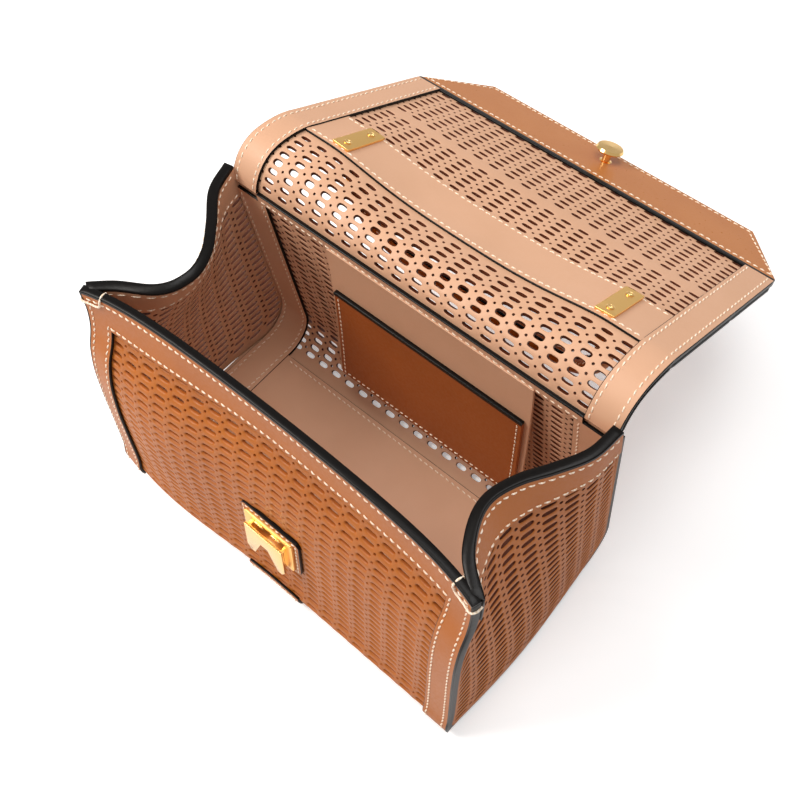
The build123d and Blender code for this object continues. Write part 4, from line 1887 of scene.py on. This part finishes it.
    def _end_piece(self) -> None:
        """Tapered brown end, stitched round, with the stud."""
        parts = MeshParts()
        across = np.linspace(-1, 1, 61)
        down = np.linspace(0, self.end_length, 13)
        share, grid_v = np.meshgrid(across, down)
        spread = self.end_half_width - self.half_width
        width = self.half_width + spread * grid_v / self.end_length
        add_plate(
            parts, self.end_surface, share * width, grid_v, -SHEET, BAND - 0.6, 0, 1, 2, 0.6
        )
        finishes = self.finishes
        made = parts.build("flap_end_leather", [finishes.end, finishes.brown, finishes.edge])
        place_piece(made, "flap_front", Slot.END, "flap_end_piece")
        near = self.half_width - 3.0
        far = self.end_half_width - 1.8
        low = self.end_length - 2.6
        path = [(near, 3.0), (far, low), (-far, low), (-near, 3.0), (near, 3.0)]
        line = StitchLine(self.end_surface, radius=0.42)
        line.sew("flap_end_stitches", finishes.thread, [path], BAND - 0.6, "flap_front")


def outline_plate(
    name: str,
    outline: Sequence[tuple[float, float]],
    low: float,
    high: float,
    place: Callable[[Array], Array],
    materials: Sequence[bpy.types.Material],
    bevel: float = 0.3,
) -> bpy.types.Object:
    """Flat plate of any outline with rounded rims.

    Args:
        name: the piece's name.
        outline: corners in mm, anticlockwise seen from outside.
        low: height of its back.
        high: height of its face.
        place: turns rows of (u, v, height) into points in mm.
        materials: of the face, and of the rim where it differs.
        bevel: width of the rim's rounding.

    Returns:
        The new object.
    """
    line = np.asarray(outline, float)
    before, after = line - np.roll(line, 1, 0), np.roll(line, -1, 0) - line
    before /= np.linalg.norm(before, axis=1, keepdims=True)
    after /= np.linalg.norm(after, axis=1, keepdims=True)
    out = np.stack([before[:, 1] + after[:, 1], -before[:, 0] - after[:, 0]], 1)
    scale = 1 + (before * after).sum(1, keepdims=True)
    out = out / np.maximum(scale, 0.3)
    rows = []
    steps = ((1.0, 0.0), (0.4, 0.15), (0.1, 0.5), (0.0, 1.0))
    for inset, drop in steps:
        rows.append((inset, high - drop * bevel))
    for inset, drop in reversed(steps):
        rows.append((inset, low + drop * bevel))
    points = []
    for inset, height in rows:
        ring = line - out * inset * bevel
        points.append(np.column_stack([ring, np.full(len(ring), height)]))
    stack = place(np.concatenate(points))
    count = len(line)
    faces: list[list[int]] = []
    for layer in range(len(rows) - 1):
        for i in range(count):
            j = (i + 1) % count
            a, b = layer * count, (layer + 1) * count
            faces.append([a + i, b + i, b + j, a + j])
    faces.insert(0, list(range(count)))
    faces.append([(len(rows) - 1) * count + i for i in reversed(range(count))])
    mesh = bpy.data.meshes.new(name)
    mesh.from_pydata((stack * MM).tolist(), [], faces)
    for material in materials:
        mesh.materials.append(material)
    slots = np.zeros(len(faces), np.int32)
    if len(materials) > 1:
        slots[1:-1] = 1
    mesh.polygons.foreach_set("material_index", slots)
    mesh.polygons.foreach_set("use_smooth", np.full(len(faces), True))
    mesh.update()
    mesh.set_sharp_from_angle(angle=math.radians(45))
    made = bpy.data.objects.new(name, mesh)
    bpy.context.scene.collection.objects.link(made)
    return made


def rounded_box(
    half_u: float, half_v: float, radius: float, u: float = 0.0, v: float = 0.0
) -> list[tuple[float, float]]:
    """Outline of a rectangle with rounded corners, anticlockwise.

    Args:
        half_u: half its width.
        half_v: half its height.
        radius: of its corners.
        u: its middle.
        v: its middle.

    Returns:
        The outline's points.
    """
    points = []
    for corner in range(4):
        cu = (half_u - radius) * (1 if corner in (0, 3) else -1)
        cv = (half_v - radius) * (1 if corner in (0, 1) else -1)
        for step in range(6):
            a = math.pi / 2 * (corner + step / 5)
            points.append((u + cu + radius * math.cos(a), v + cv + radius * math.sin(a)))
    return points


@dataclass
class Lock:
    """Slot lock on the front: leather backing, base plate and notched front plate."""

    finishes: Finishes
    front: FrontPanel
    height: float = 64.0
    x: float = 2.0
    backing: tuple[float, float] = (22.5, 17.5)
    base: tuple[float, float] = (18.5, 14.5)
    stand_off: float = 2.6
    leather_top: float = 2.0
    metal_top: float = 3.8
    plate_thick: float = 1.6
    overlap: float = 0.1
    fixing_rise: float = 0.9
    plate_half: float = 12.9

    def __post_init__(self) -> None:
        """Set the lock's own axes on the front's face."""
        s = float(np.interp(-self.height, -self.front.side.z, self.front.side.s))
        here = self.front.surface(np.array([self.x]), np.array([s]))[0]
        above = self.front.surface(np.array([self.x]), np.array([s - 3.0]))[0]
        self.right = np.array([1.0, 0.0, 0.0])
        up = above - here
        self.up = up / np.linalg.norm(up)
        self.out = np.cross(self.right, self.up)
        self.origin = here

    def place(self, rows: Array) -> Array:
        """Turn rows of across, up and out into points.

        Args:
            rows: across, up and out, in mm.

        Returns:
            The points.
        """
        return (
            self.origin
            + np.outer(rows[:, 0], self.right)
            + np.outer(rows[:, 1], self.up)
            + np.outer(rows[:, 2], self.out)
        )

    def face(self, u: Array, v: Array) -> Array:
        """The backing's plane, for stitches.

        Args:
            u: place across.
            v: place up.

        Returns:
            The points.
        """
        return self.origin + u[..., None] * self.right + v[..., None] * self.up

    def build(self) -> None:
        """Make the lock's pieces."""
        finishes = self.finishes
        leather = outline_plate(
            "lock_leather", rounded_box(*self.backing, 3.5), -0.8, self.leather_top,
            self.place,
            [finishes.brown, finishes.edge], 0.5,
        )
        place_piece(leather, "root", Slot.BROWN, "lock_backing")
        u, v = self.backing[0] - 2.2, self.backing[1] - 1.9
        path = [(-u, -v), (u, -v), (u, v), (-u, v), (-u, -v)]
        line = StitchLine(self.face, 4.0, 2.9, 0.42)
        line.sew("lock_stitches", finishes.thread, [path], self.leather_top)
        plate = outline_plate(
            "lock_base_metal", rounded_box(*self.base, 1.6), self.leather_top - self.overlap,
            self.metal_top, self.place, [finishes.satin], 0.4,
        )
        place_piece(plate, "root", Slot.SATIN, "lock_base_plate")
        self._front_plate()

    def _front_plate(self) -> None:
        """The notched plate, the side walls that carry it, and the pill fixings."""
        finishes = self.finishes
        foot = self.metal_top - self.overlap
        low = self.metal_top + self.stand_off
        outline = [
            (14.5, 8.5), (-14.5, 8.5), (-15.0, -15.5), (-12.6, -19.5), (-9.0, -19.5),
            (-2.6, -3.0), (2.6, -3.0), (9.0, -19.5), (12.6, -19.5), (15.0, -15.5),
        ]
        made = outline_plate(
            "lock_front_metal", outline, low, low + self.plate_thick, self.place,
            [finishes.bright], 0.3,
        )
        walls = []
        for side in (-1.0, 1.0):
            box = rounded_box(1.3, 9.0, 0.4, side * self.plate_half, -2.5)
            walls.append(
                outline_plate(
                    "wall", box, foot, low + self.overlap, self.place, [finishes.bright], 0.2
                )
            )
        made = joined(made, walls)
        place_piece(made, "root", Slot.POLISHED, "lock_front_plate")
        pills = []
        for u, v in ((-6.5, 10.6), (6.5, 10.6), (0.0, -9.5)):
            box = rounded_box(3.6, 1.3, 1.29, u, v)
            pills.append(
                outline_plate(
                    "pill", box, foot, self.metal_top + self.fixing_rise, self.place,
                    [finishes.bright], 0.35,
                )
            )
        made = joined(pills[0], pills[1:])
        made.name = "lock_fixings"
        place_piece(made, "root", Slot.POLISHED, "lock_rivets")


def joined(main: bpy.types.Object, others: Sequence[bpy.types.Object]) -> bpy.types.Object:
    """Join pieces of one material into the first.

    Args:
        main: the piece that is kept.
        others: the pieces that go into it.

    Returns:
        The kept piece.
    """
    vertices: list[tuple[float, float, float]] = []
    faces: list[list[int]] = []
    for item in (main, *others):
        shift = len(vertices)
        vertices += [tuple(vertex.co) for vertex in item.data.vertices]
        faces += [[shift + i for i in face.vertices] for face in item.data.polygons]
    mesh = bpy.data.meshes.new(main.name)
    mesh.from_pydata(vertices, [], faces)
    mesh.materials.append(main.data.materials[0])
    mesh.polygons.foreach_set("use_smooth", np.full(len(faces), True))
    mesh.set_sharp_from_angle(angle=math.radians(45))
    mesh.update()
    main.data = mesh
    for item in others:
        bpy.data.objects.remove(item)
    return main


@dataclass
class Pocket:
    """Flat pocket that hangs inside the back: pale sheet behind, brown front."""

    finishes: Finishes
    middle: float = 12.5
    half_width: float = 68.0
    top_z: float = 113.0
    low_z: float = 33.0
    hang_z: float = 148.0
    sheet_thick: float = 1.5
    front_low: float = 1.6
    front_high: float = 3.8
    margin: float = 3.5
    seam: float = 2.6

    def surface(self, x: Array, z: Array) -> Array:
        """The hanging sheet's back face: x across, z up, turned to the bag's inside.

        Args:
            x: place across.
            z: heights.

        Returns:
            The points.
        """
        lean = (BASE_BACK_Y - BACK_TOP_Y) / (HEIGHT - CORNER_RADIUS)
        back = BASE_BACK_Y - SHEET - lean * (z - CORNER_RADIUS)
        fall = np.maximum(0.0, self.hang_z - z) / (self.hang_z - self.low_z)
        return np.stack([x, back - 1.6 - 15.0 * fall**1.3, z], -1)

    def build(self) -> None:
        """Make the pocket's pieces."""
        finishes = self.finishes
        parts = MeshParts()
        reach = self.half_width + self.margin
        left, right = self.middle - reach, self.middle + reach
        grid_u, grid_v = region(left, right, self.low_z - 2.5, self.hang_z, 4.0)
        add_plate(parts, self.surface, grid_u, grid_v, 0.0, self.sheet_thick, 0, 0, 0, 0.4)
        made = parts.build("pocket_sheet", [finishes.beige])
        place_piece(made, "root", Slot.BEIGE, "pocket_back")
        parts = MeshParts()
        left, right = self.middle - self.half_width, self.middle + self.half_width
        grid_u, grid_v = region(left, right, self.low_z, self.top_z, 4.0)
        low, high = self.front_low, self.front_high
        add_plate(parts, self.surface, grid_u, grid_v, low, high, 0, 0, (0, 0, 1, 1), 0.5)
        grid_u, grid_v = region(left - 0.3, right + 0.3, self.top_z - 1.4, self.top_z + 0.6, 2.0)
        add_plate(parts, self.surface, grid_u, grid_v, self.sheet_thick, high + 0.5, 1, 1, 1, 0.5)
        made = parts.build("pocket_front_leather", [finishes.pocket, finishes.edge])
        place_piece(made, "root", Slot.POCKET, "pocket_front")
        low, top = self.low_z + self.seam, self.top_z - 3.2
        near, far = left + self.seam, right - self.seam
        path = [(near, top), (near, low), (far, low), (far, top)]
        line = StitchLine(self.surface, 4.0, 2.8, 0.42)
        line.sew("pocket_stitches", finishes.thread, [path], self.front_high)


@dataclass
class Handle:
    """Rolled handle: leather closed round a cord by a painted, stitched seam inside the loop."""

    finishes: Finishes
    pivot: tuple[float, float] = (117.49, 147.67)
    half_span: float = 90.0
    drop: float = 62.0
    top: float = -13.2
    corner: float = 34.0
    radius: float = 5.4

    def half_length(self) -> float:
        """Length from the middle to one end.

        Returns:
            The length in mm.
        """
        leg = self.drop + self.top - self.corner
        return self.half_span - self.corner + self.corner * math.pi / 2 + leg

    def middle(self, s: Array) -> tuple[Array, Array]:
        """Middle line and the direction into the loop.

        Args:
            s: length from the middle, negative to the left.

        Returns:
            Points and unit directions.
        """
        side, far = np.sign(s), np.abs(s)
        flat = self.half_span - self.corner
        turn = np.clip((far - flat) / self.corner, 0.0, math.pi / 2)
        rise = np.maximum(0.0, far - flat - self.corner * math.pi / 2)
        x = side * (np.minimum(far, flat) + self.corner * np.sin(turn))
        z = self.corner * (1 - np.cos(turn)) - self.drop + rise
        inward = np.stack([-side * np.sin(turn), np.zeros_like(x), np.cos(turn)], -1)
        points = np.stack([x, np.full_like(x, self.pivot[0]), z + self.pivot[1]], -1)
        return points, inward

    def surface(self, s: Array, v: Array) -> Array:
        """Outside of the rolled leather.

        Args:
            s: length from the middle.
            v: length round it, from the side away from the seam.

        Returns:
            The points.
        """
        centre, inward = self.middle(s)
        angle = v[..., None] / self.radius
        aside = np.array([0.0, 1.0, 0.0])
        return centre - self.radius * (np.cos(angle) * inward + np.sin(angle) * aside)

    def build(self) -> None:
        """Make the handle's leather, seam and stitches."""
        half = self.half_length()
        around = math.pi * self.radius - 0.25
        parts = MeshParts()
        grid_u, grid_v = region(-half, half, -around, around, 1.4)
        add_plate(parts, self.surface, grid_u, grid_v, -2.0, 0.0, 0, 0, 1, 0.4)
        made = parts.build("handle_leather", [self.finishes.brown, self.finishes.edge])
        place_piece(made, "handle", Slot.BROWN, "handle_grip")
        centre, inward = self.middle(np.linspace(-half, half, 90))
        path = list(centre + inward * (self.radius - 0.1))
        made = tube("handle_seam", path, 0.9, self.finishes.edge)
        place_piece(made, "handle", Slot.EDGE)
        paths = [[(-half + 7, v), (half - 7, v)] for v in (-around + 3.4, around - 3.4)]
        line = StitchLine(self.surface, radius=0.4)
        line.sew("handle_stitches", self.finishes.thread, paths, 0.0, "handle")


@dataclass
class Carried:
    """CAD nodes that keep their own shape and get a finish."""

    finishes: Finishes
    nodes: dict

    def build(self) -> None:
        """Give each kept node its material."""
        finishes = self.finishes
        plan = {
            "handle_bracket_left": finishes.satin,
            "handle_bracket_right": finishes.satin,
            "handle_end_left": finishes.satin,
            "handle_end_right": finishes.satin,
            "stud": finishes.bright,
        }
        for name, material in plan.items():
            made = self.nodes[name]
            made.data.materials.clear()
            made.data.materials.append(material)
            LOG.info("kept %s", name)


@dataclass
class Studio:
    """Plain floor, soft light and the camera at the photograph's place.

    The camera's place and turn come from a fit to the bag's corners.
    """

    place_mm: tuple[float, float, float] = (232.36, -155.91, 610.63)
    yaw: float = 0.8547
    pitch: float = -1.0571
    roll: float = -0.1532
    focal_px: float = 1058.05
    frame_px: float = 800.0

    def camera(self) -> None:
        """Add the camera."""
        cp, sp = math.cos(self.pitch), math.sin(self.pitch)
        forward = Vector((-math.sin(self.yaw) * cp, math.cos(self.yaw) * cp, sp))
        right = Vector((math.cos(self.yaw), math.sin(self.yaw), 0.0))
        up = right.cross(forward)
        cr, sr = math.cos(self.roll), math.sin(self.roll)
        right, up = right * cr + up * sr, up * cr - right * sr
        data = bpy.data.cameras.new("camera")
        data.sensor_width = 36.0
        data.lens = self.focal_px * 36.0 / self.frame_px
        data.clip_start, data.clip_end = 0.01, 20.0
        camera = bpy.data.objects.new("camera", data)
        bpy.context.scene.collection.objects.link(camera)
        turn = Matrix((right, up, -forward)).transposed().to_4x4()
        camera.matrix_world = Matrix.Translation(Vector(self.place_mm) * MM) @ turn
        bpy.context.scene.camera = camera

    def lamp(
        self, name: str, place: tuple[float, float, float], size: float, power: float, tint: str
    ) -> None:
        """Add a square soft lamp that looks at the bag.

        Args:
            name: its name.
            place: in metres.
            size: of its side, in metres.
            power: in watts.
            tint: sRGB hex colour.
        """
        data = bpy.data.lights.new(name, "AREA")
        data.energy, data.size = power, size
        data.color = linear(tint)[:3]
        made = bpy.data.objects.new(name, data)
        made.location = place
        aim = Vector((0.0, 0.05, 0.08)) - Vector(place)
        made.rotation_mode = "QUATERNION"
        made.rotation_quaternion = aim.to_track_quat("-Z", "Y")
        bpy.context.scene.collection.objects.link(made)

    def floor(self) -> None:
        """Add the pale floor, which glows a little to the camera alone, so that it reads white."""
        mesh = bpy.data.meshes.new("floor")
        half = 6.0
        corners = [(-half, -half, 0), (half, -half, 0), (half, half, 0), (-half, half, 0)]
        mesh.from_pydata(corners, [], [(0, 1, 2, 3)])
        made = bpy.data.objects.new("floor", mesh)
        material, tree, shader = new_material("floor_white")
        shader.inputs["Base Color"].default_value = linear("#f6f6f6")
        shader.inputs["Roughness"].default_value = 0.9
        ray = add_node(tree, "ShaderNodeLightPath")
        glow = add_node(
            tree, "ShaderNodeMath", {"operation": "MULTIPLY"}, i0=ray.outputs["Is Camera Ray"],
            i1=0.3
        )
        shader.inputs["Emission Color"].default_value = linear("#ffffff")
        tree.links.new(glow.outputs["Value"], shader.inputs["Emission Strength"])
        mesh.materials.append(material)
        bpy.context.scene.collection.objects.link(made)
        made.location.z = -0.0005

    def world(self) -> None:
        """Set a plain surround, white at half strength."""
        world = bpy.data.worlds.new("surround")
        bpy.context.scene.world = world
        world.use_nodes = True
        shade = world.node_tree.nodes["Background"]
        shade.inputs["Color"].default_value = linear("#ffffff")
        shade.inputs["Strength"].default_value = 0.5

    def build(self) -> None:
        """Set the whole stage."""
        self.camera()
        self.floor()
        self.world()
        self.lamp("key", (-0.85, -0.55, 1.35), 0.7, 19.5, "#fffaf4")
        self.lamp("top", (0.1, 0.25, 1.7), 0.8, 11.0, "#ffffff")
        bpy.context.scene.view_settings.view_transform = "Standard"


def main() -> None:
    """Load the frame, build every piece and set the stage."""
    logging.basicConfig(level=logging.INFO, format="%(name)s %(message)s")
    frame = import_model()
    finishes = Finishes()
    front = FrontPanel(finishes)
    front.build()
    BackAndBase(finishes).build()
    left = (0.0, 0.32, 0.76, 0.99, 0.88, 0.58, 0.18, 0.0)
    right = (0.0, 0.52, 0.80, 1.0, 0.82, 0.48, 0.15, 0.06)
    Gusset(finishes, front, "left", -1.0, 39.0, left).build()
    Gusset(finishes, front, "right", 1.0, 27.0, right).build()
    Flap(finishes).build()
    Lock(finishes, front).build()
    Pocket(finishes).build()
    Handle(finishes).build()
    Carried(finishes, frame["nodes"]).build()
    Studio().build()
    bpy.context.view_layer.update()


if __name__ == "__main__":
    main()
